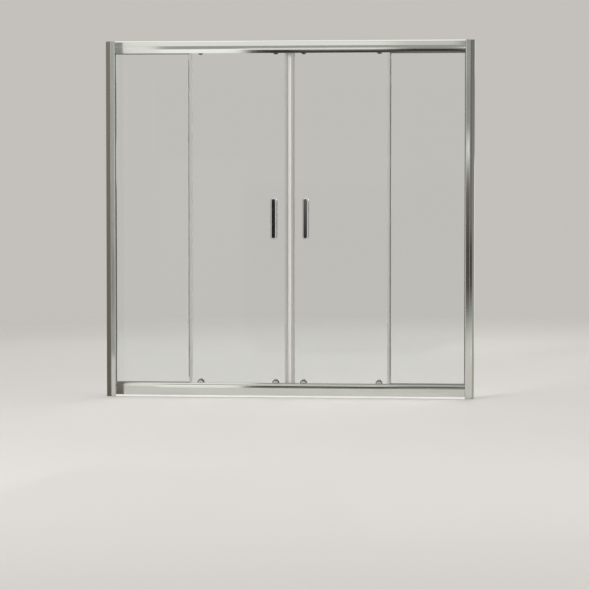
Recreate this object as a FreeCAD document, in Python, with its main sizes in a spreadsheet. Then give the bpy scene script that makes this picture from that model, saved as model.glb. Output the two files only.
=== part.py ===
import FreeCAD, Part
import math
import os

import Sketcher

# A four-panel sliding bath screen. X runs across the opening, +Y to the rear, where the doors are,
# and +Z up. The origin is the middle of the screen's foot. Lengths are in millimetres.

SIZES = {
    # the whole screen
    "screen_width": 1500,
    "screen_height": 1450,
    # clearances: between moving bodies, of a shank in its hole, and how far a cutter passes a face
    "running_gap": 0.3,
    "seat_gap": 0.05,
    "overrun": 2,
    # the U channel at each side, with screw holes in its back
    "channel_width": 19,
    "channel_wall": 2,
    "channel_clearance": 0.5,
    "wall_hole_radius": 2.75,
    "wall_hole_inset": 150,
    "channel_edge_radius": 0.8,
    # the hollow side post that telescopes into the channel
    "post_reveal": 17,
    "post_setback": 6,
    "post_wall": 1.6,
    "post_corner_radius": 3,
    "access_hole_radius": 4.2,
    "lock_screw_inset": 120,
    "lock_screw_setback": 12,
    "cap_thickness": 1.5,
    "cap_plug_depth": 10,
    "cap_plug_gap": 0.6,
    # the two rails: the front face, the glazing slot, the shelf and the rib that the wheels run on
    "rail_depth": 44,
    "rail_height": 50,
    "rail_wall": 2,
    "front_wall": 2.4,
    "edge_radius": 2,
    "top_flat_height": 21,
    "bottom_flat_height": 30,
    "groove_height": 4,
    "groove_depth": 1.2,
    "lip_setback": 3,
    "slot_depth": 14,
    "rib_wall": 1.6,
    "shelf_wall": 2,
    "rib_drop": 12,
    "boss_size": 7.2,
    "boss_rise": 6.6,
    "top_rear_wall": 38,
    "bottom_rear_lip": 11,
    "sill_height": 8,
    "sill_wall": 1.6,
    "sill_setback": 1.2,
    # screws
    "screw_radius": 1.9,
    "screw_clearance": 0.3,
    "screw_head_radius": 3.8,
    "screw_head_height": 2.4,
    "rail_screw_length": 20,
    "lock_screw_length": 12,
    # the glass
    "glass_thickness": 5,
    "pane_offset": 13,
    "door_offset": 10.5,
    "gasket_wall": 1.5,
    "gasket_recess": 0.5,
    "pane_free_edge": 401,
    "door_overlap": 11,
    "door_edge_inset": 12,
    # the push-on seals at the panes' overlapping edges
    "clip_web": 2,
    "clip_wall": 1.5,
    "clip_reach": 8,
    "clip_margin": 1,
    "lip_wall": 1.2,
    "lip_margin": 24,
    "lip_gap": 0.6,
    # the doors' meeting edge
    "meeting_gap": 0.3,
    "nose_width": 5.15,
    "profile_width": 15,
    "profile_wall": 1.8,
    "profile_web": 1.5,
    "profile_corner_radius": 1.5,
    "profile_slot_gap": 0.2,
    "profile_end_inset": 4,
    "tail_depth": 4,
    "tail_gap": 0.2,
    "glass_end_gap": 0.5,
    "magnet_width": 3,
    "magnet_wall": 0.9,
    "magnet_side_wall": 1.8,
    # the rollers
    "roller_inner_inset": 45.7,
    "roller_outer_inset": 47,
    "wheel_radius": 11.5,
    "wheel_groove_radius": 9,
    "wheel_width": 5,
    "wheel_groove_width": 2.4,
    "wheel_rim_width": 0.8,
    "wheel_gap": 0.2,
    "bolt_radius": 3,
    "bolt_gap": 0.08,
    "bolt_head_radius": 5,
    "bolt_head_height": 2,
    "side_play": 0.4,
    "glass_hole_radius": 5,
    "boss_radius": 4.8,
    "boss_end_gap": 0.3,
    "bracket_width": 27,
    "bracket_thickness": 4,
    "bracket_drop": 5,
    "bracket_head": 11,
    "bracket_corner_radius": 3,
    "roller_cap_radius": 10,
    "roller_cap_height": 3.8,
    "roller_cap_rim": 1.2,
    "roller_cap_bore": 2,
    # the sprung bottom rollers
    "housing_width": 28,
    "housing_height": 12.4,
    "housing_front": 13.5,
    "housing_edge_radius": 2.5,
    "housing_floor": 1,
    "housing_roof": 1.2,
    "housing_back_wall": 2.1,
    "housing_front_wall": 1.9,
    "housing_gap": 0.6,
    "housing_stud_rise": 5.2,
    "stud_radius": 2.4,
    "carrier_width": 12,
    "carrier_plate": 2.4,
    "carrier_head_width": 10,
    "carrier_head_height": 1.5,
    "carrier_tail": 8.8,
    "button_radius": 4,
    "button_rise": 4.5,
    "button_setback": 6.8,
    "spring_radius": 1.9,
    "spring_wire_radius": 0.35,
    "spring_setback": 8.6,
    # the bow handles
    "handle_place": 65,
    "handle_width": 25,
    "handle_height": 170,
    "handle_thickness": 8,
    "handle_rim": 5.5,
    "handle_reach": 30,
    "leg_radius": 6,
    "leg_inset": 20,
    "washer_radius": 8,
    "washer_thickness": 1,
    "handle_stud_radius": 2.5,
    "handle_stud_grip": 12,
    "handle_hole_radius": 4,
    # the rubber stops on the posts
    "stop_length": 11.7,
    "stop_width": 12,
    "stop_height": 20,
    "stop_inset": 14,
}
SPRING_TURNS = 5

doc = FreeCAD.newDocument("BathScreen")
sheet = doc.addObject("Spreadsheet::Sheet", "Sizes")
for row, (alias, number) in enumerate(SIZES.items(), start=1):
    sheet.set(f"A{row}", alias)
    sheet.set(f"B{row}", str(number))
    sheet.setAlias(f"B{row}", alias)
doc.recompute()


class Size:
    """A length worked out from the sheet: its number now, and the expression that keeps it bound."""

    def __init__(self, number, text):
        self.number = number
        self.text = text

    def __add__(self, other):
        return join(self, "+", other, self.number + size(other).number)

    def __sub__(self, other):
        return join(self, "-", other, self.number - size(other).number)

    def __mul__(self, other):
        return join(self, "*", other, self.number * size(other).number)

    def __truediv__(self, other):
        return join(self, "/", other, self.number / size(other).number)

    def __neg__(self):
        return Size(-self.number, f"(0 - {self.text})")


def size(value):
    if isinstance(value, Size):
        return value
    return Size(value, str(value))


def join(left, sign, right, number):
    return Size(number, f"({left.text} {sign} {size(right).text})")


class Sheet:
    """Gives each cell of the sheet as a Size, by its alias."""

    def __getattr__(self, alias):
        return Size(float(getattr(sheet, alias)), f"Sizes.{alias}")


S = Sheet()
ZERO = Size(0.0, "0")
NODES = {}


def bind(item, prop, value):
    item.setExpression(prop, size(value).text)


def keep(item, label):
    """Gives a finished sub-part its name."""
    item.Label = label
    NODES[label] = item
    return item


def line(first, second):
    """A corner of an outline, joined to the next corner by a straight side."""
    return (size(first), size(second), None, 0)


def arc(first, second, radius, side):
    """A corner joined to the next one by an arc: side +1 bulges to the right of the way, -1 to the left."""
    return (size(first), size(second), radius, side)


def arc_radius(chord, rise):
    """The radius of the arc that leaves one end square to rise and drifts by rise over chord."""
    return (chord * chord + rise * rise) / (rise * 2)


def draw_loop(sketch, outline):
    """Adds one closed loop to a sketch and binds every corner and radius to the sheet."""
    first = sketch.GeometryCount
    ends = []
    for i, (a, b, radius, side) in enumerate(outline):
        c, d = outline[(i + 1) % len(outline)][:2]
        start = FreeCAD.Vector(a.number, b.number, 0)
        end = FreeCAD.Vector(c.number, d.number, 0)
        if radius is None:
            sketch.addGeometry(Part.LineSegment(start, end), False)
        else:
            chord = end - start
            half = chord.Length / 2
            sagitta = radius.number - math.sqrt(max(radius.number**2 - half**2, 0))
            right = FreeCAD.Vector(chord.y, -chord.x, 0).normalize()
            middle = (start + end) / 2 + right * sagitta * side
            sketch.addGeometry(Part.Arc(start, middle, end), False)
        at_start = sketch.getPoint(first + i, 1).distanceToPoint(start)
        at_end = sketch.getPoint(first + i, 2).distanceToPoint(start)
        ends.append((1, 2) if at_start < at_end else (2, 1))
    for i, (a, b, radius, side) in enumerate(outline):
        following = (i + 1) % len(outline)
        joint = ("Coincident", first + i, ends[i][1], first + following, ends[following][0])
        sketch.addConstraint(Sketcher.Constraint(*joint))
        for kind, value in (("DistanceX", a), ("DistanceY", b)):
            place = (kind, -1, 1, first + i, ends[i][0], value.number)
            index = sketch.addConstraint(Sketcher.Constraint(*place))
            if value is not ZERO:
                bind(sketch, f"Constraints[{index}]", value)
        if radius is not None:
            index = sketch.addConstraint(Sketcher.Constraint("Radius", first + i, radius.number))
            bind(sketch, f"Constraints[{index}]", radius)


def draw_circle(sketch, across, up, radius):
    """Adds a round hole to a sketch."""
    centre = FreeCAD.Vector(across.number, up.number, 0)
    index = sketch.addGeometry(Part.Circle(centre, FreeCAD.Vector(0, 0, 1), radius.number), False)
    for kind, value in (("DistanceX", across), ("DistanceY", up)):
        k = sketch.addConstraint(Sketcher.Constraint(kind, -1, 1, index, 3, value.number))
        bind(sketch, f"Constraints[{k}]", value)
    k = sketch.addConstraint(Sketcher.Constraint("Radius", index, radius.number))
    bind(sketch, f"Constraints[{k}]", radius)


def new_sketch(body, role, outline, loops=(), circles=()):
    """A sketch on one of a body's own origin planes."""
    sketch = body.newObject("Sketcher::SketchObject", f"{body.Name}_Outline")
    plane = next(item for item in body.Origin.OriginFeatures if item.Role == role)
    sketch.AttachmentSupport = [(plane, "")]
    sketch.MapMode = "FlatFace"
    draw_loop(sketch, outline)
    for loop in loops:
        draw_loop(sketch, loop)
    for circle in circles:
        draw_circle(sketch, *circle)
    return sketch


def extruded(name, plane, outline, start, end, loops=(), circles=()):
    """A body of one section. plane YZ extrudes along X, XZ along Y and XY along Z, from start to end."""
    body = doc.addObject("PartDesign::Body", name)
    sketch = new_sketch(body, f"{plane}_Plane", outline, loops, circles)
    offset = -end if plane == "XZ" else start
    bind(sketch, "AttachmentOffset.Base.z", offset)
    pad = body.newObject("PartDesign::Pad", f"{name}_Pad")
    pad.Profile = sketch
    bind(pad, "Length", end - start)
    return body


def turned(name, outline, axis, place):
    """A body turned about its own axis. The outline is (radius, along), and place is where the axis lies."""
    body = doc.addObject("PartDesign::Body", name)
    sketch = new_sketch(body, "XY_Plane", outline)
    turn = body.newObject("PartDesign::Revolution", f"{name}_Turn")
    turn.Profile = sketch
    turn.ReferenceAxis = (sketch, ["V_Axis"])
    turn.Angle = 360
    if axis == "X":
        body.Placement.Rotation = FreeCAD.Rotation(FreeCAD.Vector(0, 0, 1), -90)
    for letter, value in zip("xyz", place):
        if value is not ZERO:
            bind(body, f"Placement.Base.{letter}", value)
    return body


def box(name, across, deep, up):
    """A box between pairs of Sizes along X, Y and Z."""
    item = doc.addObject("Part::Box", name)
    sides = (("Length", "x", across), ("Width", "y", deep), ("Height", "z", up))
    for prop, letter, (low, high) in sides:
        bind(item, prop, high - low)
        bind(item, f"Placement.Base.{letter}", low)
    return item


AXES = {"X": FreeCAD.Vector(1, 0, 0), "Y": FreeCAD.Vector(0, 1, 0), "Z": FreeCAD.Vector(0, 0, 1)}


def rod(name, axis, place, length, radius):
    """A cylinder that starts at place and runs along +X, +Y or +Z."""
    item = doc.addObject("Part::Cylinder", name)
    bind(item, "Radius", radius)
    bind(item, "Height", length)
    turn = FreeCAD.Rotation(AXES["Z"], AXES[axis])
    item.Placement = FreeCAD.Placement(FreeCAD.Vector(0, 0, 0), turn)
    for letter, value in zip("xyz", place):
        bind(item, f"Placement.Base.{letter}", value)
    return item


def fuse(name, shapes):
    item = doc.addObject("Part::MultiFuse", name)
    item.Shapes = shapes
    return item


def cut(name, base, tools):
    item = doc.addObject("Part::Cut", name)
    item.Base = base
    item.Tool = tools[0] if len(tools) == 1 else fuse(f"{name}_Tools", tools)
    return item


def group(name, shapes):
    """Several separate solids in one sub-part."""
    item = doc.addObject("Part::Compound", name)
    item.Links = shapes
    return item


def mirrored(name, source):
    """The same piece on the other side of the screen's middle."""
    item = doc.addObject("Part::Mirroring", name)
    item.Source = source
    item.Normal = AXES["X"]
    return item


def both_sides(source, label):
    """Names a right-hand piece and its left-hand mirror image."""
    keep(source, f"{label}_right")
    keep(mirrored(f"{source.Name}_Mirror", source), f"{label}_left")


def rounded(body, radius, at_face, above):
    """Rounds the edges of a body that lie in the plane where Y is at_face and reach higher than above."""
    doc.recompute()
    solid = body.Tip
    edges = []
    for number, edge in enumerate(solid.Shape.Edges, start=1):
        span = edge.BoundBox
        flat = max(abs(span.YMin - at_face.number), abs(span.YMax - at_face.number))
        if flat < S.seat_gap.number and span.ZMax > above.number + S.seat_gap.number:
            edges.append(f"Edge{number}")
    fillet = body.newObject("PartDesign::Fillet", f"{body.Name}_Round")
    fillet.Base = (solid, edges)
    bind(fillet, "Radius", radius)
    return body


# Heights and depths that several pieces share.

rail_front = -(S.rail_depth / 2)
rail_back = S.rail_depth / 2
bottom_low = S.sill_height
bottom_high = S.sill_height + S.rail_height
top_high = S.screen_height
top_low = S.screen_height - S.rail_height
wall_face = S.screen_width / 2
channel_edge = wall_face - S.channel_width
post_edge = channel_edge - S.post_reveal
post_back = wall_face - S.post_setback
post_top = S.screen_height - S.cap_thickness

slot_width = S.glass_thickness + S.gasket_wall * 2
slot_front = -(S.pane_offset + slot_width / 2)
slot_back = -(S.pane_offset - slot_width / 2)
slot_end = slot_back + S.rib_wall
pane_front = -(S.pane_offset + S.glass_thickness / 2)
pane_back = -(S.pane_offset - S.glass_thickness / 2)
door_front = S.door_offset - S.glass_thickness / 2
door_back = S.door_offset + S.glass_thickness / 2

rib_tip = S.rail_height - S.rib_drop
wheel_rise = rib_tip - S.wheel_groove_radius - S.wheel_gap
top_wheel_height = top_high - wheel_rise
bottom_wheel_height = bottom_low + wheel_rise
wheel_face = S.wheel_width / 2
boss_half = S.boss_size / 2
boss_top = S.boss_rise + boss_half
boss_places = (-boss_half, rail_back - S.rail_wall - boss_half)


def rail_section(outer, sense, flat_height, rear_height):
    """A rail's section as (Y, Z). Heights run from its outer edge towards the opening by sense."""

    def up(height):
        return outer + height * sense

    groove_end = flat_height + S.groove_height
    plate_inside = rail_front + S.front_wall
    web_inside = S.rail_wall
    slot_floor = S.rail_height - S.slot_depth
    floor_under = slot_floor - S.rib_wall
    bull_radius = arc_radius(S.rail_height - groove_end, S.lip_setback)
    groove_radius = arc_radius(S.groove_height / 2, S.groove_depth)
    boss_front = boss_places[0] - boss_half
    boss_back = boss_places[0] + boss_half
    rear_boss = boss_places[1] - boss_half
    return [
        line(rail_front, up(S.edge_radius)),
        arc(rail_front, up(flat_height), groove_radius, sense),
        arc(rail_front, up(groove_end), bull_radius, -sense),
        line(rail_front + S.lip_setback, up(S.rail_height)),
        line(slot_front, up(S.rail_height)),
        line(slot_front, up(slot_floor)),
        line(slot_back, up(slot_floor)),
        line(slot_back, up(S.rail_height)),
        line(S.rib_wall / 2, up(S.rail_height)),
        line(S.rib_wall / 2, up(rib_tip)),
        line(-(S.rib_wall / 2), up(rib_tip)),
        line(-(S.rib_wall / 2), up(S.rail_height - S.shelf_wall)),
        line(slot_end, up(S.rail_height - S.shelf_wall)),
        line(slot_end, up(floor_under)),
        line(plate_inside, up(floor_under)),
        line(plate_inside, up(web_inside)),
        line(boss_front, up(web_inside)),
        line(boss_front, up(boss_top)),
        line(boss_back, up(boss_top)),
        line(boss_back, up(web_inside)),
        line(rear_boss, up(web_inside)),
        line(rear_boss, up(boss_top)),
        line(rail_back - S.rail_wall, up(boss_top)),
        line(rail_back - S.rail_wall, up(rear_height)),
        line(rail_back, up(rear_height)),
        arc(rail_back, up(S.edge_radius), S.edge_radius, -sense),
        line(rail_back - S.edge_radius, up(ZERO)),
        arc(rail_front + S.edge_radius, up(ZERO), S.edge_radius, -sense),
    ]


def make_rail(name, label, outer, sense, flat_height, rear_height):
    """An extruded rail with a bore for a screw in each end of its two bosses."""
    section = rail_section(outer, sense, flat_height, rear_height)
    bores = [(place, outer + S.boss_rise * sense, S.screw_radius) for place in boss_places]
    rail = extruded(name, "YZ", section, -post_edge, post_edge, circles=bores)
    return keep(rail, label)


make_rail("TopRail", "top_rail", top_high, -1, S.top_flat_height, S.top_rear_wall)
make_rail("BottomRail", "bottom_rail", bottom_low, 1, S.bottom_flat_height, S.bottom_rear_lip)


# The hollow strip of PVC between the bottom rail and the rim.

sill_outside = rail_back - S.sill_setback
sill_inside = sill_outside - S.sill_wall


def rectangle(low_a, high_a, low_b, high_b):
    return [line(low_a, low_b), line(high_a, low_b), line(high_a, high_b), line(low_a, high_b)]


sill = extruded(
    "SillSeal",
    "YZ",
    rectangle(-sill_outside, sill_outside, ZERO, S.sill_height),
    -post_edge,
    post_edge,
    loops=[rectangle(-sill_inside, sill_inside, S.sill_wall, S.sill_height - S.sill_wall)],
)
keep(sill, "sill_seal")


# The wall channel: a U section, open towards the post, with three screw holes in its back.

channel_inside = rail_back + S.channel_clearance
channel_outside = channel_inside + S.channel_wall
channel_floor = wall_face - S.channel_wall
channel_outline = [
    line(wall_face, -channel_outside),
    line(wall_face, channel_outside),
    arc(channel_edge + S.channel_edge_radius, channel_outside, S.channel_edge_radius, 1),
    line(channel_edge, channel_outside - S.channel_edge_radius),
    line(channel_edge, channel_inside),
    line(channel_floor, channel_inside),
    line(channel_floor, -channel_inside),
    line(channel_edge, -channel_inside),
    arc(channel_edge, S.channel_edge_radius - channel_outside, S.channel_edge_radius, 1),
    line(channel_edge + S.channel_edge_radius, -channel_outside),
]
channel = extruded("WallChannel", "XY", channel_outline, ZERO, post_top)
wall_holes = (S.wall_hole_inset, S.screen_height / 2, S.screen_height - S.wall_hole_inset)
lock_holes = (S.lock_screw_inset, S.screen_height / 2, S.screen_height - S.lock_screw_inset)
lock_place = wall_face - S.lock_screw_setback
drills = []
for number, height in enumerate(wall_holes, start=1):
    start = (channel_floor - S.overrun, ZERO, height)
    length = S.channel_wall + S.overrun * 2
    drills.append(rod(f"WallHole{number}", "X", start, length, S.wall_hole_radius))
for number, height in enumerate(lock_holes, start=1):
    start = (lock_place, channel_inside - S.running_gap, height)
    length = S.channel_wall + S.overrun
    drills.append(rod(f"LockHole{number}", "Y", start, length, S.screw_radius + S.screw_clearance))
both_sides(cut("WallChannelDrilled", channel, drills), "wall_channel")


# The side post: a hollow section with the glazing slot in its inner face.

post_slot_floor = post_edge + S.slot_depth
chamber_back = post_back - S.post_wall
chamber_side = rail_back - S.post_wall
r_post = S.post_corner_radius
post_outline = [
    arc(post_edge, -(rail_back - r_post), r_post, 1),
    line(post_edge + r_post, -rail_back),
    line(post_back, -rail_back),
    line(post_back, rail_back),
    arc(post_edge + r_post, rail_back, r_post, 1),
    line(post_edge, rail_back - r_post),
    line(post_edge, slot_back),
    line(post_slot_floor, slot_back),
    line(post_slot_floor, slot_front),
    line(post_edge, slot_front),
]
chamber = [
    line(post_slot_floor + S.post_wall, -chamber_side),
    line(chamber_back, -chamber_side),
    line(chamber_back, chamber_side),
    line(post_edge + S.post_wall, chamber_side),
    line(post_edge + S.post_wall, slot_end),
    line(post_slot_floor + S.post_wall, slot_end),
]
post = extruded("SidePost", "XY", post_outline, ZERO, post_top, loops=[chamber])
screw_heights = (bottom_low + S.boss_rise, top_high - S.boss_rise)
drills = []
for depth_name, depth in zip(("Front", "Back"), boss_places):
    for height_name, height in zip(("Low", "High"), screw_heights):
        name = f"Post{depth_name}{height_name}"
        start = (post_edge - S.overrun, depth, height)
        through = S.post_wall + S.overrun * 2
        radius = S.screw_radius + S.screw_clearance
        drills.append(rod(f"{name}Screw", "X", start, through, radius))
        start = (chamber_back - S.overrun, depth, height)
        drills.append(rod(f"{name}Access", "X", start, through, S.access_hole_radius))
for number, height in enumerate(lock_holes, start=1):
    start = (lock_place, chamber_side - S.overrun, height)
    length = S.post_wall + S.overrun * 2
    drills.append(rod(f"PostLockHole{number}", "Y", start, length, S.screw_radius))
both_sides(cut("SidePostDrilled", post, drills), "side_post")


# The moulded cap that closes the channel and the post at the top, with a plug down the post.

cap_plate = box(
    "CapPlate",
    (post_edge, wall_face),
    (-channel_outside, channel_outside),
    (post_top, S.screen_height),
)
cap_plug = box(
    "CapPlug",
    (post_slot_floor + S.post_wall + S.cap_plug_gap, chamber_back - S.cap_plug_gap),
    (S.cap_plug_gap - chamber_side, chamber_side - S.cap_plug_gap),
    (post_top - S.cap_plug_depth, post_top),
)
both_sides(fuse("PostCap", [cap_plate, cap_plug]), "post_cap")


# Screws. Each is turned: a pan head and a shank, along X into the rails and along Y into the posts.


def pan_screw(name, axis, place, length):
    shank = S.screw_radius - S.seat_gap
    head = S.screw_head_radius
    height = S.screw_head_height
    outline = [
        line(ZERO, -length),
        line(shank, -length),
        line(shank, ZERO),
        line(head, ZERO),
        arc(head, height / 2, height / 2, 1),
        line(head - height / 2, height),
        line(ZERO, height),
    ]
    return turned(name, outline, axis, place)


rail_screws = []
for depth_name, depth in zip(("Front", "Back"), boss_places):
    for height_name, height in zip(("Low", "High"), screw_heights):
        place = (post_edge + S.post_wall, depth, height)
        name = f"RailScrew{depth_name}{height_name}"
        rail_screws.append(pan_screw(name, "X", place, S.rail_screw_length))
rail_screws += [mirrored(f"{screw.Name}Left", screw) for screw in rail_screws]
keep(group("RailScrews", rail_screws), "rail_screws")

lock_screws = []
for number, height in enumerate(lock_holes, start=1):
    place = (lock_place, channel_outside, height)
    lock_screws.append(pan_screw(f"LockScrew{number}", "Y", place, S.lock_screw_length))
lock_screws += [mirrored(f"{screw.Name}Left", screw) for screw in lock_screws]
keep(group("LockScrews", lock_screws), "lock_screws")


# The fixed pane, the gasket round its three held edges and the seal on its free edge.

pane_end = post_slot_floor - S.gasket_wall
slot_low = bottom_high - S.slot_depth
slot_high = top_low + S.slot_depth
pane_low = slot_low + S.gasket_wall
pane_high = slot_high - S.gasket_wall
pane = extruded(
    "FixedPane",
    "XZ",
    rectangle(S.pane_free_edge, pane_end, pane_low, pane_high),
    pane_front,
    pane_back,
)
both_sides(pane, "fixed_pane")

gasket_block = box(
    "GasketBlock",
    (S.pane_free_edge, post_slot_floor),
    (slot_front, slot_back),
    (slot_low, slot_high),
)
gasket_view = box(
    "GasketView",
    (S.pane_free_edge - S.overrun, post_edge + S.gasket_recess),
    (slot_front - S.overrun, slot_back + S.overrun),
    (bottom_high - S.gasket_recess, top_low + S.gasket_recess),
)
gasket_pane = box(
    "GasketPane",
    (S.pane_free_edge - S.overrun, pane_end),
    (pane_front, pane_back),
    (pane_low, pane_high),
)
both_sides(cut("PaneGasket", gasket_block, [gasket_view, gasket_pane]), "pane_gasket")

lip_low = bottom_high + S.lip_margin
lip_high = top_low - S.lip_margin
clip_low = bottom_high + S.clip_margin
clip_high = top_low - S.clip_margin


def edge_clip(name, edge, sense, front, back):
    """A U section pushed onto a glass edge. Its web lies beyond the edge, against sense."""
    web = edge - S.clip_web * sense
    reach = edge + S.clip_reach * sense
    outline = [
        line(web, front - S.clip_wall),
        line(reach, front - S.clip_wall),
        line(reach, front),
        line(edge, front),
        line(edge, back),
        line(reach, back),
        line(reach, back + S.clip_wall),
        line(web, back + S.clip_wall),
    ]
    return extruded(name, "XY", outline, clip_low, clip_high)


pane_web = S.pane_free_edge - S.clip_web
pane_clip = edge_clip("PaneEdgeClip", S.pane_free_edge, 1, pane_front, pane_back)
pane_lip = box(
    "PaneEdgeLip",
    (pane_web, pane_web + S.lip_wall),
    (pane_back + S.clip_wall, door_front - S.lip_gap),
    (lip_low, lip_high),
)
both_sides(fuse("PaneEdgeSeal", [pane_clip, pane_lip]), "pane_edge_seal")


# The sliding door: its glass, the chrome profile and magnet seal where the doors meet, and the seal behind.

door_low = bottom_low + S.door_edge_inset
door_high = top_high - S.door_edge_inset
nose_start = S.meeting_gap / 2
profile_start = nose_start + S.nose_width
profile_end = profile_start + S.profile_width
web_start = profile_start + S.tail_depth
web_end = web_start + S.profile_web
door_start = web_end + S.glass_end_gap
door_end = S.pane_free_edge + S.door_overlap
roller_inner = door_start + S.roller_inner_inset
roller_outer = door_end - S.roller_outer_inset
roller_places = (("Inner", roller_inner), ("Outer", roller_outer))
bottom_stud_height = bottom_high + S.housing_gap + S.housing_stud_rise
handle_middle = (bottom_high + top_low) / 2
leg_spread = S.handle_height / 2 - S.leg_inset
leg_heights = (handle_middle - leg_spread, handle_middle + leg_spread)

door_holes = [(x, top_wheel_height, S.glass_hole_radius) for _, x in roller_places]
door_holes += [(x, bottom_stud_height, S.glass_hole_radius) for _, x in roller_places]
door_holes += [(S.handle_place, height, S.handle_hole_radius) for height in leg_heights]
door = extruded(
    "DoorGlass",
    "XZ",
    rectangle(door_start, door_end, door_low, door_high),
    door_front,
    door_back,
    circles=door_holes,
)
both_sides(door, "door_glass")

profile_low = door_low + S.profile_end_inset
profile_high = door_high - S.profile_end_inset
slot_half = S.glass_thickness / 2 + S.profile_slot_gap
profile_half = slot_half + S.profile_wall
r_profile = S.profile_corner_radius
middle = S.door_offset
profile_outline = [
    line(profile_start, middle - profile_half),
    arc(profile_end - r_profile, middle - profile_half, r_profile, 1),
    line(profile_end, middle - profile_half + r_profile),
    line(profile_end, middle - slot_half),
    line(web_end, middle - slot_half),
    line(web_end, middle + slot_half),
    line(profile_end, middle + slot_half),
    arc(profile_end, middle + profile_half - r_profile, r_profile, 1),
    line(profile_end - r_profile, middle + profile_half),
    line(profile_start, middle + profile_half),
    line(profile_start, middle + slot_half),
    line(web_start, middle + slot_half),
    line(web_start, middle - slot_half),
    line(profile_start, middle - slot_half),
]
profile = extruded("DoorProfile", "XY", profile_outline, profile_low, profile_high)
both_sides(profile, "door_edge_profile")

tail_half = slot_half - S.tail_gap
magnet_start = nose_start + S.magnet_wall
magnet_end = magnet_start + S.magnet_width
magnet_half = profile_half - S.magnet_side_wall
seal_outline = [
    arc(nose_start, middle - profile_half + r_profile, r_profile, 1),
    line(nose_start + r_profile, middle - profile_half),
    line(profile_start, middle - profile_half),
    line(profile_start, middle - tail_half),
    line(web_start - S.tail_gap, middle - tail_half),
    line(web_start - S.tail_gap, middle + tail_half),
    line(profile_start, middle + tail_half),
    line(profile_start, middle + profile_half),
    arc(nose_start + r_profile, middle + profile_half, r_profile, 1),
    line(nose_start, middle + profile_half - r_profile),
]
magnet_pocket = rectangle(magnet_start, magnet_end, middle - magnet_half, middle + magnet_half)
seal = extruded("MagnetSeal", "XY", seal_outline, profile_low, profile_high, loops=[magnet_pocket])
both_sides(seal, "magnet_seal")

magnet = box(
    "MagnetStrip",
    (magnet_start + S.seat_gap, magnet_end - S.seat_gap),
    (middle - magnet_half + S.seat_gap, middle + magnet_half - S.seat_gap),
    (profile_low, profile_high),
)
both_sides(magnet, "magnet_strip")

door_web = door_end + S.clip_web
door_clip = edge_clip("DoorEdgeClip", door_end, -1, door_front, door_back)
door_lip = box(
    "DoorEdgeLip",
    (door_web - S.lip_wall, door_web),
    (pane_back + S.lip_gap, door_front - S.clip_wall),
    (lip_low, lip_high),
)
both_sides(fuse("DoorEdgeSeal", [door_clip, door_lip]), "door_edge_seal")


# The rollers. Every wheel is nylon with a deep groove that straddles the rail's rib.


def make_wheel(name, x, z):
    bore = S.bolt_radius + S.bolt_gap
    groove = S.wheel_groove_width / 2
    rim = wheel_face - S.wheel_rim_width
    outline = [
        line(bore, -wheel_face),
        line(S.wheel_radius, -wheel_face),
        line(S.wheel_radius, -rim),
        line(S.wheel_groove_radius, -groove),
        line(S.wheel_groove_radius, groove),
        line(S.wheel_radius, rim),
        line(S.wheel_radius, wheel_face),
        line(bore, wheel_face),
    ]
    return turned(name, outline, "Y", (x, ZERO, z))


def make_bracket(name, x):
    """The plate on the door's glass that carries a top wheel, with a boss through the glass."""
    half = S.bracket_width / 2
    low = top_low - S.bracket_drop
    high = top_wheel_height + S.bracket_head
    corner = S.bracket_corner_radius
    plate_front = door_front - S.bracket_thickness
    outline = [
        arc(x - half, low + half, half, 1),
        arc(x, low, half, 1),
        line(x + half, low + half),
        arc(x + half, high - corner, corner, 1),
        line(x + half - corner, high),
        arc(x - half + corner, high, corner, 1),
        line(x - half, high - corner),
    ]
    bore = S.bolt_radius + S.seat_gap
    plate = extruded(
        f"{name}Plate",
        "XZ",
        outline,
        plate_front,
        door_front,
        circles=[(x, top_wheel_height, bore)],
    )
    spacer = [
        line(bore, wheel_face + S.running_gap),
        line(S.bolt_head_radius, wheel_face + S.running_gap),
        line(S.bolt_head_radius, plate_front),
        line(bore, plate_front),
    ]
    through = [
        line(bore, door_front),
        line(S.boss_radius, door_front),
        line(S.boss_radius, door_back - S.boss_end_gap),
        line(bore, door_back - S.boss_end_gap),
    ]
    place = (x, ZERO, top_wheel_height)
    bosses = [turned(f"{name}Spacer", spacer, "Y", place), turned(f"{name}Boss", through, "Y", place)]
    return fuse(name, [plate, *bosses])


def make_bolt(name, x):
    """The axle bolt of a top wheel. Its end is held in the cap behind the glass."""
    face = wheel_face + S.side_play
    end = door_back + S.roller_cap_bore - S.running_gap
    outline = [
        line(ZERO, -(face + S.bolt_head_height)),
        line(S.bolt_head_radius, -(face + S.bolt_head_height)),
        line(S.bolt_head_radius, -face),
        line(S.bolt_radius, -face),
        line(S.bolt_radius, end),
        line(ZERO, end),
    ]
    return turned(name, outline, "Y", (x, ZERO, top_wheel_height))


def cap_outline(bore, depth):
    """A low domed cap behind the glass, with a blind bore of this depth."""
    top = door_back + S.roller_cap_height
    rim = door_back + S.roller_cap_rim
    dome = arc_radius(S.roller_cap_radius, S.roller_cap_height - S.roller_cap_rim)
    return [
        line(bore, door_back),
        line(S.roller_cap_radius, door_back),
        arc(S.roller_cap_radius, rim, dome, 1),
        line(ZERO, top),
        line(ZERO, door_back + depth),
        line(bore, door_back + depth),
    ]


def make_stud_cap(name, x):
    """The cap behind a bottom roller, with the stud that holds the housing through the glass."""
    stud = S.stud_radius
    tip = door_front - S.housing_back_wall + S.running_gap
    top = door_back + S.roller_cap_height
    rim = door_back + S.roller_cap_rim
    dome = arc_radius(S.roller_cap_radius, S.roller_cap_height - S.roller_cap_rim)
    outline = [
        line(ZERO, tip),
        line(stud, tip),
        line(stud, door_back),
        line(S.roller_cap_radius, door_back),
        arc(S.roller_cap_radius, rim, dome, 1),
        line(ZERO, top),
    ]
    return turned(name, outline, "Y", (x, ZERO, bottom_stud_height))


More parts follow.
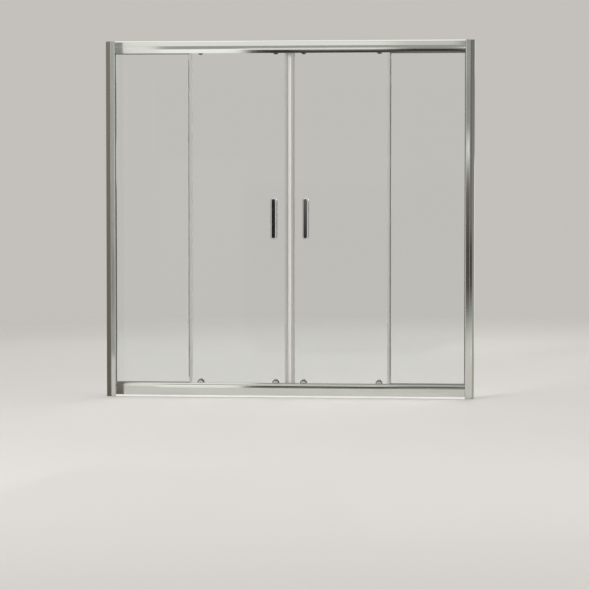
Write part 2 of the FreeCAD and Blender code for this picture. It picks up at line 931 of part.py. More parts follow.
housing_low = bottom_high + S.housing_gap
housing_high = housing_low + S.housing_height
housing_face = door_front - S.housing_front
cavity_front = housing_face + S.housing_front_wall
cavity_back = door_front - S.housing_back_wall
cavity_low = housing_low + S.housing_floor
cavity_high = housing_high - S.housing_roof
plate_back = cavity_back - S.running_gap
plate_front = plate_back - S.carrier_plate
channel_half = S.carrier_width / 2 + S.running_gap
button_place = door_front - S.button_setback
head_high = cavity_high - S.running_gap
head_low = head_high - S.carrier_head_height


def make_housing(name, x):
    """The domed housing of a bottom roller, on the front of the door's glass just above the rail."""
    half = S.housing_width / 2
    dome = arc_radius(half, S.housing_height - S.housing_floor)
    shoulder = housing_low + S.housing_floor
    outline = [
        line(x - half, housing_low),
        line(x + half, housing_low),
        arc(x + half, shoulder, dome, 1),
        arc(x, housing_high, dome, 1),
        line(x - half, shoulder),
    ]
    shell = extruded(f"{name}Shell", "XZ", outline, housing_face, door_front)
    rounded(shell, S.housing_edge_radius, housing_face, housing_low)
    boss_start = (x, door_front - S.seat_gap, bottom_stud_height)
    boss_length = S.glass_thickness + S.seat_gap - S.boss_end_gap
    boss = rod(f"{name}Boss", "Y", boss_start, boss_length, S.boss_radius)
    cavity = box(
        f"{name}Cavity",
        (x - channel_half, x + channel_half),
        (cavity_front, cavity_back),
        (cavity_low, cavity_high),
    )
    slot = box(
        f"{name}Slot",
        (x - channel_half, x + channel_half),
        (plate_front - S.running_gap, cavity_back),
        (housing_low - S.overrun, cavity_low + S.overrun),
    )
    roof_start = (x, button_place, cavity_high - S.overrun)
    roof_length = S.housing_roof + S.overrun * 2
    roof = rod(f"{name}Roof", "Z", roof_start, roof_length, S.button_radius + S.running_gap)
    bore_start = (x, cavity_back - S.overrun, bottom_stud_height)
    bore_length = door_back - cavity_back + S.overrun * 2
    bore = rod(f"{name}Bore", "Y", bore_start, bore_length, S.stud_radius + S.seat_gap)
    return cut(name, fuse(f"{name}Body", [shell, boss]), [cavity, slot, roof, bore])


def make_carrier(name, x):
    """The sprung carrier of a bottom wheel: a plate with the axle below and the push button on top."""
    half = S.carrier_width / 2
    low = bottom_wheel_height - S.carrier_tail
    outline = [
        arc(x - half, low + half, half, 1),
        arc(x, low, half, 1),
        line(x + half, low + half),
        line(x + half, head_high),
        line(x - half, head_high),
    ]
    plate = extruded(f"{name}Plate", "XZ", outline, plate_front, plate_back)
    head_half = S.carrier_head_width / 2
    head = box(
        f"{name}Head",
        (x - head_half, x + head_half),
        (cavity_front + S.running_gap, plate_front + S.seat_gap),
        (head_low, head_high),
    )
    button_start = (x, button_place, head_low)
    button_length = housing_high + S.button_rise - head_low
    button = rod(f"{name}Button", "Z", button_start, button_length, S.button_radius)
    face = wheel_face + S.side_play
    axle = [
        line(ZERO, -(face + S.bolt_head_height)),
        line(S.bolt_head_radius, -(face + S.bolt_head_height)),
        line(S.bolt_head_radius, -face),
        line(S.bolt_radius, -face),
        line(S.bolt_radius, wheel_face + S.running_gap),
        line(S.bolt_head_radius, wheel_face + S.running_gap),
        line(S.bolt_head_radius, plate_back - S.seat_gap),
        line(ZERO, plate_back - S.seat_gap),
    ]
    stub = turned(f"{name}Axle", axle, "Y", (x, ZERO, bottom_wheel_height))
    return fuse(name, [plate, head, button, stub])


def make_spring(name, x):
    """The compression spring between the housing's floor and the carrier's head."""
    wire = S.spring_wire_radius.number
    height = head_low.number - cavity_low.number - wire * 2
    helix = Part.makeHelix(height / SPRING_TURNS, height, S.spring_radius.number)
    circle = Part.makeCircle(wire, helix.Vertexes[0].Point, FreeCAD.Vector(0, 1, 0))
    coil = Part.Wire(helix.Edges).makePipeShell([Part.Wire([circle])], True, True)
    item = doc.addObject("Part::Feature", name)
    item.Shape = coil
    bind(item, "Placement.Base.x", x)
    bind(item, "Placement.Base.y", door_front - S.spring_setback)
    bind(item, "Placement.Base.z", cavity_low + S.spring_wire_radius)
    return item


brackets = []
bolts = []
caps = []
housings = []
for place, roller_x in roller_places:
    low_name = place.lower()
    brackets.append(make_bracket(f"TopBracket{place}", roller_x))
    bolts.append(make_bolt(f"TopBolt{place}", roller_x))
    bolt_bore = S.bolt_radius + S.seat_gap
    cap_place = (roller_x, ZERO, top_wheel_height)
    caps.append(turned(f"TopCap{place}", cap_outline(bolt_bore, S.roller_cap_bore), "Y", cap_place))
    caps.append(make_stud_cap(f"BottomCap{place}", roller_x))
    housings.append(make_housing(f"BottomHousing{place}", roller_x))
    top_wheel = make_wheel(f"TopWheel{place}", roller_x, top_wheel_height)
    both_sides(top_wheel, f"top_wheel_{low_name}")
    bottom_wheel = make_wheel(f"BottomWheel{place}", roller_x, bottom_wheel_height)
    both_sides(bottom_wheel, f"bottom_wheel_{low_name}")
    both_sides(make_carrier(f"BottomCarrier{place}", roller_x), f"bottom_carrier_{low_name}")
    both_sides(make_spring(f"BottomSpring{place}", roller_x), f"bottom_spring_{low_name}")
both_sides(group("TopBrackets", brackets), "top_roller_brackets")
both_sides(group("TopBolts", bolts), "top_roller_bolts")
both_sides(group("RollerCaps", caps), "roller_caps")
both_sides(group("BottomHousings", housings), "bottom_roller_housings")


# The bow handles: a rounded bar on two legs, the same in front and behind, drawn together by two studs.

washer_front = door_front - S.washer_thickness
bar_face = door_front - S.handle_reach
bar_back = bar_face + S.handle_thickness
half_width = S.handle_width / 2
bar_low = handle_middle - S.handle_height / 2 + half_width
bar_high = handle_middle + S.handle_height / 2 - half_width
bar_outline = [
    arc(S.handle_place - half_width, bar_low, half_width, 1),
    arc(S.handle_place, bar_low - half_width, half_width, 1),
    line(S.handle_place + half_width, bar_low),
    arc(S.handle_place + half_width, bar_high, half_width, 1),
    arc(S.handle_place, bar_high + half_width, half_width, 1),
    line(S.handle_place - half_width, bar_high),
]
bar = extruded("HandleBar", "XZ", bar_outline, bar_face, bar_back)
rounded(bar, S.handle_rim, bar_face, ZERO)
legs = []
bores = []
studs = []
washers = []
stud_start = washer_front - S.handle_stud_grip
stud_end = door_back + S.washer_thickness + S.handle_stud_grip
for number, height in enumerate(leg_heights, start=1):
    leg_start = (S.handle_place, bar_back - S.seat_gap, height)
    leg_length = washer_front - bar_back + S.seat_gap
    legs.append(rod(f"HandleLeg{number}", "Y", leg_start, leg_length, S.leg_radius))
    bore_start = (S.handle_place, stud_start - S.running_gap, height)
    bore_length = S.handle_stud_grip + S.overrun
    bores.append(rod(f"HandleBore{number}", "Y", bore_start, bore_length, S.handle_stud_radius + S.seat_gap))
    stud_place = (S.handle_place, stud_start, height)
    studs.append(rod(f"HandleStud{number}", "Y", stud_place, stud_end - stud_start, S.handle_stud_radius))
    for side, washer_place in (("Front", washer_front), ("Back", door_back)):
        ring = [
            line(S.handle_stud_radius + S.seat_gap, washer_place),
            line(S.washer_radius, washer_place),
            line(S.washer_radius, washer_place + S.washer_thickness),
            line(S.handle_stud_radius + S.seat_gap, washer_place + S.washer_thickness),
        ]
        centre = (S.handle_place, ZERO, height)
        washers.append(turned(f"HandleWasher{side}{number}", ring, "Y", centre))
handle = cut("HandleFront", fuse("HandleSolid", [bar, *legs]), bores)
rear_handle = doc.addObject("Part::Mirroring", "HandleRear")
rear_handle.Source = handle
rear_handle.Normal = AXES["Y"]
bind(rear_handle, "Base.y", S.door_offset)
both_sides(handle, "handle_front")
both_sides(rear_handle, "handle_rear")
both_sides(group("HandleStuds", studs), "handle_studs")
both_sides(group("HandleWashers", washers), "handle_washers")


# The rubber stops that a door's trailing edge meets, on the post at both rails.

stop_back = (middle - S.stop_width / 2, middle + S.stop_width / 2)
stop_span = (post_edge - S.stop_length, post_edge)
low_stop = bottom_low + S.stop_inset
high_stop = top_high - S.stop_inset
stops = [
    box("LowStop", stop_span, stop_back, (low_stop, low_stop + S.stop_height)),
    box("HighStop", stop_span, stop_back, (high_stop - S.stop_height, high_stop)),
]
stops += [mirrored(f"{stop.Name}Left", stop) for stop in stops]
keep(group("DoorStops", stops), "door_stops")


doc.recompute()

for item in doc.Objects:
    if "Invalid" in item.State or "Error" in item.State:
        raise RuntimeError(f"{item.Label} did not build: {item.State}")
for label, item in NODES.items():
    if item.Shape.isNull() or not item.Shape.isValid() or not item.Shape.Solids:
        raise RuntimeError(f"{label} has no valid solid")

os.makedirs("parts", exist_ok=True)
for label, item in NODES.items():
    item.Shape.exportStep(f"parts/{label}.step")
    low = item.Shape.BoundBox
    print(
        f"{label}: {len(item.Shape.Solids)} solids, {item.Shape.Volume:.0f} mm3, "
        f"x {low.XMin:.1f} {low.XMax:.1f}, y {low.YMin:.1f} {low.YMax:.1f}, z {low.ZMin:.1f} {low.ZMax:.1f}"
    )
print(len(NODES), "nodes")
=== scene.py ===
import math

import bmesh
import bpy
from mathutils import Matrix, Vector


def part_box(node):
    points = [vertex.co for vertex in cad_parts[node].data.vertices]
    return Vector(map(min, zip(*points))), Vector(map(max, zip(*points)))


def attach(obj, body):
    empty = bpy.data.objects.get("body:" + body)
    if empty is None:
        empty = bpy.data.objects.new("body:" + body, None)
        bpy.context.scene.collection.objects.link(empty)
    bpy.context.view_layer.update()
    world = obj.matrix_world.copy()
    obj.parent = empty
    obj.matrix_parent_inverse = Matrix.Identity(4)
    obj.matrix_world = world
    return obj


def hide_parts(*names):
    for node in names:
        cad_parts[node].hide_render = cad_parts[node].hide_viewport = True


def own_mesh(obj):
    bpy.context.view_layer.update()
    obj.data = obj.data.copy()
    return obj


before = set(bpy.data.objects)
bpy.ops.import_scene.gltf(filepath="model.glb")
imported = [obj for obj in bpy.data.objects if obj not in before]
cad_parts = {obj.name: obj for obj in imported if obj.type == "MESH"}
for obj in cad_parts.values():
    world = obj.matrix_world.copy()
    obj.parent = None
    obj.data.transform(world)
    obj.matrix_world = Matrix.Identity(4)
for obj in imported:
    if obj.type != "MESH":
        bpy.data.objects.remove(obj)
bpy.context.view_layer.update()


# The studio: a pale paper floor that fades into a plain pale backdrop, and soft lamps. Out of view
# stands what the polished metal mirrors as painted reflections: a glowing room in a few tones, and
# sheets in dim tones close to both sides.

backdrop_colour = "#c4c0bc"
floor_colour = "#cecbc7"
ambient_strength = 0.62
floor_half = 12
floor_drop = 0.0002
floor_fade_start = 2.2
floor_fade_end = 7.5


def colour(code):
    """A hex colour as sRGB, in the linear numbers that a socket takes."""
    parts = [int(code[place:place + 2], 16) / 255 for place in (1, 3, 5)]
    return [c / 12.92 if c <= 0.04045 else ((c + 0.055) / 1.055) ** 2.4 for c in parts] + [1]


def add(tree, kind, sockets=None, **settings):
    """Adds one shader node with its settings. A socket takes a value or another node's output."""
    node = tree.nodes.new("ShaderNode" + kind)
    for name, value in settings.items():
        setattr(node, name, value)
    for name, value in (sockets or {}).items():
        if isinstance(value, bpy.types.NodeSocket):
            tree.links.new(value, node.inputs[name])
        else:
            node.inputs[name].default_value = value
    return node


def blank(name):
    """A new material with an empty node tree."""
    material = bpy.data.materials.new(name)
    material.use_nodes = True
    material.node_tree.nodes.clear()
    return material, material.node_tree


def flat_sheet(name, corners):
    """One four-cornered sheet, in metres."""
    mesh = bpy.data.meshes.new(name)
    mesh.from_pydata(corners, [], [(0, 1, 2, 3)])
    sheet = bpy.data.objects.new(name, mesh)
    bpy.context.scene.collection.objects.link(sheet)
    return sheet


world = bpy.data.worlds.new("pale_studio")
bpy.context.scene.world = world
world.use_nodes = True
tree = world.node_tree
tree.nodes.clear()
rays = add(tree, "LightPath").outputs
seen = rays["Is Camera Ray"]
for ray in ("Is Glossy Ray", "Is Transmission Ray"):
    seen = add(tree, "Math", {0: seen, 1: rays[ray]}, operation="ADD", use_clamp=True).outputs[0]
ambient = add(tree, "Background", {"Color": colour("#ffffff"), "Strength": ambient_strength})
paper = add(tree, "Background", {"Color": colour(backdrop_colour), "Strength": 1})
both = add(tree, "MixShader", {0: seen, 1: ambient.outputs[0], 2: paper.outputs[0]})
add(tree, "OutputWorld", {"Surface": both.outputs[0]})

floor_paper, tree = blank("matt_floor_paper")
place = add(tree, "NewGeometry").outputs["Position"]
away = add(tree, "VectorMath", {0: place}, operation="LENGTH").outputs["Value"]
edge = {0: away, 1: floor_fade_start, 2: floor_fade_end}
fade = add(tree, "MapRange", edge, interpolation_type="SMOOTHSTEP").outputs[0]
# paper fibres about 1 mm long
fibres = add(tree, "TexNoise", {"Vector": place, "Scale": 900, "Detail": 3}).outputs[0]
rise = add(tree, "Bump", {"Height": fibres, "Strength": 0.15, "Distance": 0.0005}).outputs[0]
matt = add(tree, "BsdfPrincipled", {
    "Base Color": colour(floor_colour), "Roughness": 0.85, "Specular IOR Level": 0.2, "Normal": rise})
clear = add(tree, "BsdfTransparent")
both = add(tree, "MixShader", {0: fade, 1: matt.outputs[0], 2: clear.outputs[0]})
add(tree, "OutputMaterial", {"Surface": both.outputs[0]})
floor = flat_sheet("studio_floor", [(x * floor_half, y * floor_half, -floor_drop)
                                    for x, y in ((-1, -1), (1, -1), (1, 1), (-1, 1))])
floor.data.materials.append(floor_paper)

# The room that the metal mirrors: a drum round the studio that glows and that only reflections see,
# so all its tones are painted reflections. It is painted in a few tones: a dark band with a pale
# band over it in front, a bright slot to the right, plain sides, and white overhead. Each part begins
# at an angle from straight ahead, to the right, fades in over some degrees before that, and has its
# tones from the floor up, each at a height in metres. Behind, the same room comes again.
room_glow = 1.25
room_away = 4
room_tall = 4.2
room_sides = 96
near_floor, near_floor_soft = 2.3, 2.9
white, pale, light = "#fbfaf8", "#e4e3df", "#c8c6c2"
grey, dim, dark, black = "#939691", "#6e6a66", "#443f3b", "#2a2624"
plain_side = ((0, light), (0.5, pale), (1.3, light), (3.2, light), (3.6, white))
plain_corner = ((0, pale), (3.2, light), (3.6, white))
# bands of painted reflection, from the floor up, that the faces of the rails show
reflected_bands_low = ((0.9, pale), (1.08, pale), (1.15, grey), (1.42, grey))
reflected_bands_high = ((1.52, pale), (1.78, pale), (1.92, grey), (3, grey), (3.5, white))
room_parts = (
    (-90, 0, plain_side),
    (-45, 15, plain_corner),
    (-24, 5, ((0, grey), (0.35, dim), (1.1, grey), (3.2, grey), (3.6, white))),
    (-19.2, 0.4, ((0, light), (0.7, pale), (1.5, pale), (3.2, light), (3.6, white))),
    (-16, 0.4, ((0, pale), (0.98, white), (1.05, grey), (1.42, grey), (1.52, pale), (3.2, pale),
                (3.6, white))),
    (-8.6, 1.2, ((0, dim), (0.35, dark), (0.52, black), (0.84, black)) + reflected_bands_low + reflected_bands_high),
    (-4.8, 0.9, ((0, dim), (0.52, black), (0.84, dim)) + reflected_bands_low + reflected_bands_high),
    (4.5, 3, ((0, grey), (0.35, dim), (0.55, dim), (0.62, black), (0.86, black), (0.95, grey),
              (1.42, grey), (1.52, light), (1.78, light), (1.92, grey), (2.8, grey), (3.3, white))),
    (8.8, 0.8, ((0, light), (0.16, dim), (0.3, dark), (0.5, dark), (0.84, dim), (0.93, grey),
                (1.07, white), (1.2, grey), (3.2, grey), (3.6, white))),
    (9.7, 0.4, ((0, light), (0.12, grey), (0.3, dark), (0.5, dark), (0.65, dim), (3.2, dim),
                (3.6, white))),
    (22, 9, plain_corner),
    (60, 15, plain_side),
)
# how much of the room's painted reflection the plain glass's sharp reflections swap for one flat
# painted tone, so that the glass stays clear
glass_calm = 0.7
glass_calm_colour = "#b9b6b2"

room_paint, tree = blank("reflected_room")
spot = add(tree, "SeparateXYZ", {0: add(tree, "TexCoord").outputs["Object"]}).outputs
towards = add(tree, "Math", {0: spot["Y"], 1: -1}, operation="MULTIPLY").outputs[0]
angle = add(tree, "Math", {0: spot["X"], 1: towards}, operation="ARCTAN2").outputs[0]
angle = add(tree, "Math", {0: angle, 1: -math.pi / 2, 2: math.pi / 2}, operation="WRAP").outputs[0]
share_up = add(tree, "Math", {0: spot["Z"], 1: room_tall}, operation="DIVIDE").outputs[0]
painted = None
for begins, fades, tones in room_parts:
    column = add(tree, "ValToRGB", {0: share_up})
    marks = column.color_ramp.elements
    marks.remove(marks[1])
    marks[0].position = 0
    marks[0].color = colour(tones[0][1])
    for height, code in tones[1:]:
        marks.new(height / room_tall).color = colour(code)
    if painted is None:
        painted = column.outputs[0]
        continue
    edge = {0: angle, 1: math.radians(begins - fades), 2: math.radians(begins)}
    share = add(tree, "MapRange", edge, interpolation_type="SMOOTHSTEP").outputs[0]
    mix = {0: share, 6: painted, 7: column.outputs[0]}
    painted = add(tree, "Mix", mix, data_type="RGBA").outputs[2]
plain_glass = add(tree, "LightPath").outputs["Is Singular Ray"]
calm = add(tree, "Math", {0: plain_glass, 1: glass_calm}, operation="MULTIPLY").outputs[0]
mix = {0: calm, 6: painted, 7: colour(glass_calm_colour)}
painted = add(tree, "Mix", mix, data_type="RGBA").outputs[2]
# the drum glows in these tones, so that the metal shows them as painted reflections
paint = add(tree, "Emission", {"Color": painted, "Strength": room_glow}).outputs[0]
place = add(tree, "TexCoord").outputs["Object"]
away = add(tree, "VectorMath", {0: place}, operation="LENGTH").outputs["Value"]
edge = {0: away, 1: near_floor, 2: near_floor_soft}
far = add(tree, "MapRange", edge, interpolation_type="SMOOTHSTEP").outputs[0]
both = add(tree, "MixShader", {0: far, 1: add(tree, "BsdfTransparent").outputs[0], 2: paint})
add(tree, "OutputMaterial", {"Surface": both.outputs[0]})


def mirrored_only(thing, material):
    """Paints a piece of the studio that nothing but a reflection shows."""
    thing.data.materials.append(material)
    thing.visible_camera = False
    thing.visible_diffuse = False
    thing.visible_transmission = False
    thing.visible_shadow = False


drum = bmesh.new()
bmesh.ops.create_cone(
    drum, cap_ends=True, segments=room_sides, radius1=room_away, radius2=room_away, depth=room_tall)
bmesh.ops.translate(drum, vec=(0, 0, room_tall / 2), verts=drum.verts[:])
mesh = bpy.data.meshes.new("room_drum")
drum.to_mesh(mesh)
drum.free()
room = bpy.data.objects.new("room_drum", mesh)
bpy.context.scene.collection.objects.link(room)
mirrored_only(room, room_paint)

# Sheets close to both sides that glow in dim tones and that only reflections see: painted dark
# reflections in the wall channels and the left ends of the rails. Columns: name, side, nearest and
# furthest depth before the screen, and colour at the foot and at the top. Each has a foot that runs on
# over the floor, cut along the line of sight.
flag_across = 0.753
flag_tall = 1.5
flag_lift = 0.0005
flag_slope = 0.167
flag_start = -0.025
reflection_sheets = (
    ("left", -1, -0.025, -0.155, "#6b675f", "#8a837c"),
    ("left_front", -1, -0.256, -0.46, "#6f6a66", "#989a96"),
    ("right", 1, -0.025, -0.155, "#b0afa6", "#737773"),
)
for name, side, near, far, foot_tint, top_tint in reflection_sheets:
    painted_reflection_paint, tree = blank(f"painted_reflection_sheet_{name}")
    height = add(tree, "SeparateXYZ", {0: add(tree, "TexCoord").outputs["Object"]}).outputs["Z"]
    share = add(tree, "MapRange", {0: height, 2: flag_tall}).outputs[0]
    tints = {0: share, 6: colour(foot_tint), 7: colour(top_tint)}
    shade = add(tree, "Mix", tints, data_type="RGBA").outputs[2]
    # the sheet glows in its tints, as a painted reflection seen only in the metal and glass
    glow = add(tree, "Emission", {"Color": shade, "Strength": 1})
    add(tree, "OutputMaterial", {"Surface": glow.outputs[0]})
    corners = [(flag_across * side, depth, height)
               for depth, height in ((near, 0), (far, 0), (far, flag_tall), (near, flag_tall))]
    mirrored_only(flat_sheet(f"flag_{name}", corners), painted_reflection_paint)
    corners = [(flag_across * side, depth, flag_lift) for depth in (near, far)]
    corners += [((flag_across + flag_slope * (depth - flag_start)) * side, flag_start, flag_lift)
                for depth in (far, near)]
    mirrored_only(flat_sheet(f"flag_{name}_foot", corners), painted_reflection_paint)

# name, place, size across and power in watts of each soft lamp
lamps = (
    ("key_lamp", (-3.5, -5.5, 4.2), 3.0, 230),
    ("fill_lamp", (4.5, -5.0, 2.6), 3.5, 110),
    ("rear_lamp", (1.5, 5.0, 4.5), 3.0, 120),
)
middle = Vector((0, 0, 0.7))
for name, spot_place, across, watts in lamps:
    lamp = bpy.data.lights.new(name, "AREA")
    lamp.size = across
    lamp.energy = watts
    holder = bpy.data.objects.new(name, lamp)
    holder.location = spot_place
    holder.rotation_euler = (middle - Vector(spot_place)).to_track_quat("-Z", "Y").to_euler()
    holder.visible_camera = False
    holder.visible_glossy = False
    bpy.context.scene.collection.objects.link(holder)


# The camera stands ten metres off, a little to the right of the middle and turned back to it, as
# the photograph's does. Its place, turn and lens were fitted to the corners of the screen.

camera_place = (0.967, -10.0, 0.867)
camera_tilt = 2.55
camera_turn = 5.41
camera_lens = 150.85
camera_sensor = 36

lens = bpy.data.cameras.new("camera")
lens.lens = camera_lens
lens.sensor_width = camera_sensor
camera = bpy.data.objects.new("camera", lens)
camera.location = camera_place
camera.rotation_euler = (math.radians(90 - camera_tilt), 0, math.radians(camera_turn))
bpy.context.scene.collection.objects.link(camera)
bpy.context.scene.camera = camera
bpy.context.scene.view_settings.view_transform = "Standard"


# The top and bottom rails: extruded aluminium, polished and bright anodised. A flat outer band, a
# fine groove and a swelling inner band in front, a glazing slot, and a rib that the wheels run on.

rail_wall = 2
front_wall = 2.4
rib_wall = 1.6
rib_drop = 12
rib_corner = 0.7
slot_depth = 14
slot_sides = (-17, -9)
slot_lip = 0.4
groove_height = 4
groove_depth = 1
groove_slant = 0.17
groove_lip = 0.25
groove_round = 0.3
groove_ease = 0.2
band_lean = 2.5
boss = 7.2
boss_top = 10.2
rear_corner = 0.8
heel_corner = 2
soft_corner = 0.5
arc_steps = 14
rail_steps = 6
least_step = 0.0005
smooth_angle = 24
# name, node, which way is in, the height of the flat band in front and of the rear wall, the swell
# of the inner band, and the radius of the outer edge
rails = (
    ("rail_top", "top_rail", -1, 21, 38, 2.4, 5),
    ("rail_bottom", "bottom_rail", 1, 30, 11, 3, 2),
)


def cad(node):
    """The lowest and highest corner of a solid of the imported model, in millimetres."""
    low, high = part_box(node)
    return low * 1000, high * 1000


def rounded(corners, steps=5):
    """An outline whose corners, each (across, up, radius), are turned to arcs."""
    points = []
    for number, (across, up, radius) in enumerate(corners):
        here = Vector((across, up))
        if not radius:
            points.append(here)
            continue
        before = (Vector(corners[number - 1][:2]) - here).normalized()
        after = (Vector(corners[(number + 1) % len(corners)][:2]) - here).normalized()
        half = before.angle(after) / 2
        centre = here + (before + after).normalized() * (radius / math.sin(half))
        start = here + before * (radius / math.tan(half)) - centre
        end = here + after * (radius / math.tan(half)) - centre
        for step in range(steps + 1):
            points.append(centre + start.lerp(end, step / steps).normalized() * radius)
    # two arcs that meet share one point
    return [point for number, point in enumerate(points)
            if (point - points[number - 1]).length > least_step]


def space(axis, along, across, up):
    """A point of an outline in space, for an outline that is pulled along this axis."""
    return {"X": (along, across, up), "Y": (across, along, up), "Z": (across, up, along)}[axis]


def sweep(bm, axis, low, high, outline, holes=()):
    """Adds an outline, less its holes, pulled along an axis from low to high."""
    twin = {}
    flat_edges = []
    for loop in (outline, *holes):
        start = [bm.verts.new(space(axis, low, *point)) for point in loop]
        end = [bm.verts.new(space(axis, high, *point)) for point in loop]
        for number in range(len(loop)):
            bm.faces.new((start[number - 1], start[number], end[number], end[number - 1]))
            flat_edges.append(bm.edges.get((start[number - 1], start[number])))
        twin.update(zip(start, end))
    made = bmesh.ops.triangle_fill(bm, edges=flat_edges, use_beauty=True)["geom"]
    for face in [item for item in made if isinstance(item, bmesh.types.BMFace)]:
        bm.faces.new([twin[corner] for corner in reversed(face.verts)])


def piece(name, bm, side=1, sharp=32):
    """Makes an object in metres of a mesh drawn in millimetres for the right side; side -1 mirrors it."""
    bmesh.ops.scale(bm, vec=(side / 1000, 0.001, 0.001), verts=bm.verts[:])
    bmesh.ops.recalc_face_normals(bm, faces=bm.faces[:])
    mesh = bpy.data.meshes.new(name)
    bm.to_mesh(mesh)
    bm.free()
    made = bpy.data.objects.new(name, mesh)
    bpy.context.scene.collection.objects.link(made)
    return polish(made, sharp)


def polish(made, sharp=32):
    """Shades the rounds smooth and keeps the flats beside them flat."""
    made.data.shade_smooth()
    made.data.set_sharp_from_angle(angle=math.radians(sharp))
    even = made.modifiers.new("even_flats", "WEIGHTED_NORMAL")
    even.keep_sharp = True
    even.weight = 100
    return made


def extrusion(name, axis, low, high, outline, holes=(), side=1, sharp=32):
    """Makes a piece of an outline, less its holes, pulled along an axis."""
    bm = bmesh.new()
    sweep(bm, axis, low, high, outline, holes)
    return piece(name, bm, side, sharp)


def fit(made, body, node, slot, *materials):
    """Gives a piece its materials and the body it moves with, and hides the node that it stands for. The
    slot is not used.
    """
    for material in materials:
        made.data.materials.append(material)
    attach(made, body)
    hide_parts(node)


def lines_along(along, pitch, changes):
    """The scale of lines this many millimetres apart, which change so often in a metre along."""
    scale = [1000 / pitch] * 3
    scale["XYZ".index(along)] = changes
    return scale


def surface(tree, toned, shades, rubbed, gloss, reliefs=(), shader=None, spread=(0, 1)):
    """Ends a material. One pattern tones it between two shades, and one, over its spread, makes it
    rougher from the first gloss to the second. A relief is a pattern, a strength and a height in
    millimetres. Whatever is the same all over is set on the shader."""
    shades = {0: toned, 6: colour(shades[0]), 7: colour(shades[1])}
    rough = {0: rubbed, 1: spread[0], 2: spread[1], 3: gloss[0], 4: gloss[1]}
    sockets = {"Base Color": add(tree, "Mix", shades, data_type="RGBA").outputs[2],
               "Roughness": add(tree, "MapRange", rough).outputs[0], **(shader or {})}
    for pattern, strength, height in reliefs:
        under = {"Normal": sockets["Normal"]} if "Normal" in sockets else {}
        bump = {"Height": pattern, "Strength": strength, "Distance": height / 1000, **under}
        sockets["Normal"] = add(tree, "Bump", bump).outputs[0]
    skin = add(tree, "BsdfPrincipled", sockets)
    add(tree, "OutputMaterial", {"Surface": skin.outputs[0]})


def bright_aluminium(name, along):
    """Polished, bright-anodised aluminium: a clear mirror with faint die lines along the extrusion."""
    material, tree = blank(name)
    place = add(tree, "TexCoord").outputs["Object"]
    # die lines every 2 mm, drawn coarse enough to show, and waves some 90 mm wide and 250 mm long
    lined = add(tree, "Mapping", {"Vector": place, "Scale": lines_along(along, 2, 1.5)}).outputs[0]
    waved = add(tree, "Mapping", {"Vector": place, "Scale": lines_along(along, 90, 4)}).outputs[0]
    fine = add(tree, "TexNoise", {"Vector": lined, "Scale": 1, "Detail": 4, "Roughness": 0.6}).outputs[0]
    slow = add(tree, "TexNoise", {"Vector": waved, "Scale": 1, "Detail": 2}).outputs[0]
    surface(tree, fine, ("#e3e4e0", "#d6d8d3"), fine, (0.05, 0.09),
            ((slow, 0.35, 0.4), (fine, 0.1, 0.02)), {"Metallic": 1}, spread=(0.3, 0.7))
    return material


rail_aluminium = bright_aluminium("bright_anodised_aluminium_rail", "X")
post_aluminium = bright_aluminium("bright_anodised_aluminium_post", "Z")


def rail_outline(outer, sense, flat, rear, swell, crown):
    """A rail's section, as (depth, height), with heights from its outer edge towards the opening."""
    low, high = cad("top_rail")
    front, back, tall = low.y, high.y, high.z - low.z
    groove_end = flat + groove_height
    reach = tall - groove_end
    chord = math.hypot(reach, swell)
    bull = chord / (2 * math.sin(math.atan2(swell, reach) - math.radians(band_lean)))
    sunk, low_up = bull * math.cos(math.radians(band_lean)), bull * math.sin(math.radians(band_lean))
    outline = [(front, 0, crown), (front, flat, groove_lip),
               (front + groove_depth, flat + groove_ease, groove_round),
               (front + groove_depth + groove_slant, groove_end - groove_ease, groove_round)]
    for step in range(arc_steps + 1):
        up = reach * step / arc_steps
        outline.append((front + sunk - math.sqrt(bull ** 2 - (up + low_up) ** 2), groove_end + up, 0))
    near, far = slot_sides
    bed, track, rib = tall - slot_depth, tall - rib_drop, rib_wall / 2
    under, chamber, behind = tall - rail_wall, far + rib_wall, front + front_wall
    inside, soft = back - rail_wall, soft_corner
    outline += [
        (near, tall, slot_lip), (near, bed, 0), (far, bed, 0), (far, tall, slot_lip),
        (rib, tall, soft), (rib, track, rib_corner), (-rib, track, rib_corner), (-rib, under, soft),
        (chamber, under, soft), (chamber, bed - rib_wall, soft), (behind, bed - rib_wall, soft),
        (behind, rail_wall, soft), (-boss, rail_wall, soft), (-boss, boss_top, soft),
        (0, boss_top, soft), (0, rail_wall, soft), (inside - boss, rail_wall, soft),
        (inside - boss, boss_top, soft), (inside, boss_top, soft), (inside, rear, slot_lip),
        (back, rear, rear_corner), (back, 0, heel_corner),
    ]
    return [(across, outer + up * sense) for across, up in rounded(outline, rail_steps)]


for name, node, sense, flat, rear, swell, crown in rails:
    low, high = cad(node)
    outer = high.z if sense < 0 else low.z
    section = rail_outline(outer, sense, flat, rear, swell, crown)
    rail = extrusion(name, "X", low.x, high.x, section, sharp=smooth_angle)
    fit(rail, "frame", node, "bright_aluminium", rail_aluminium)


# The sill strip that carries the bottom rail along its whole length: a hollow strip of white PVC,
# extruded. Smooth, with a soft gloss that picks up a little dust.

sill_corner = 1.4
sill_inside = 0.6
sill_wall = 1.6


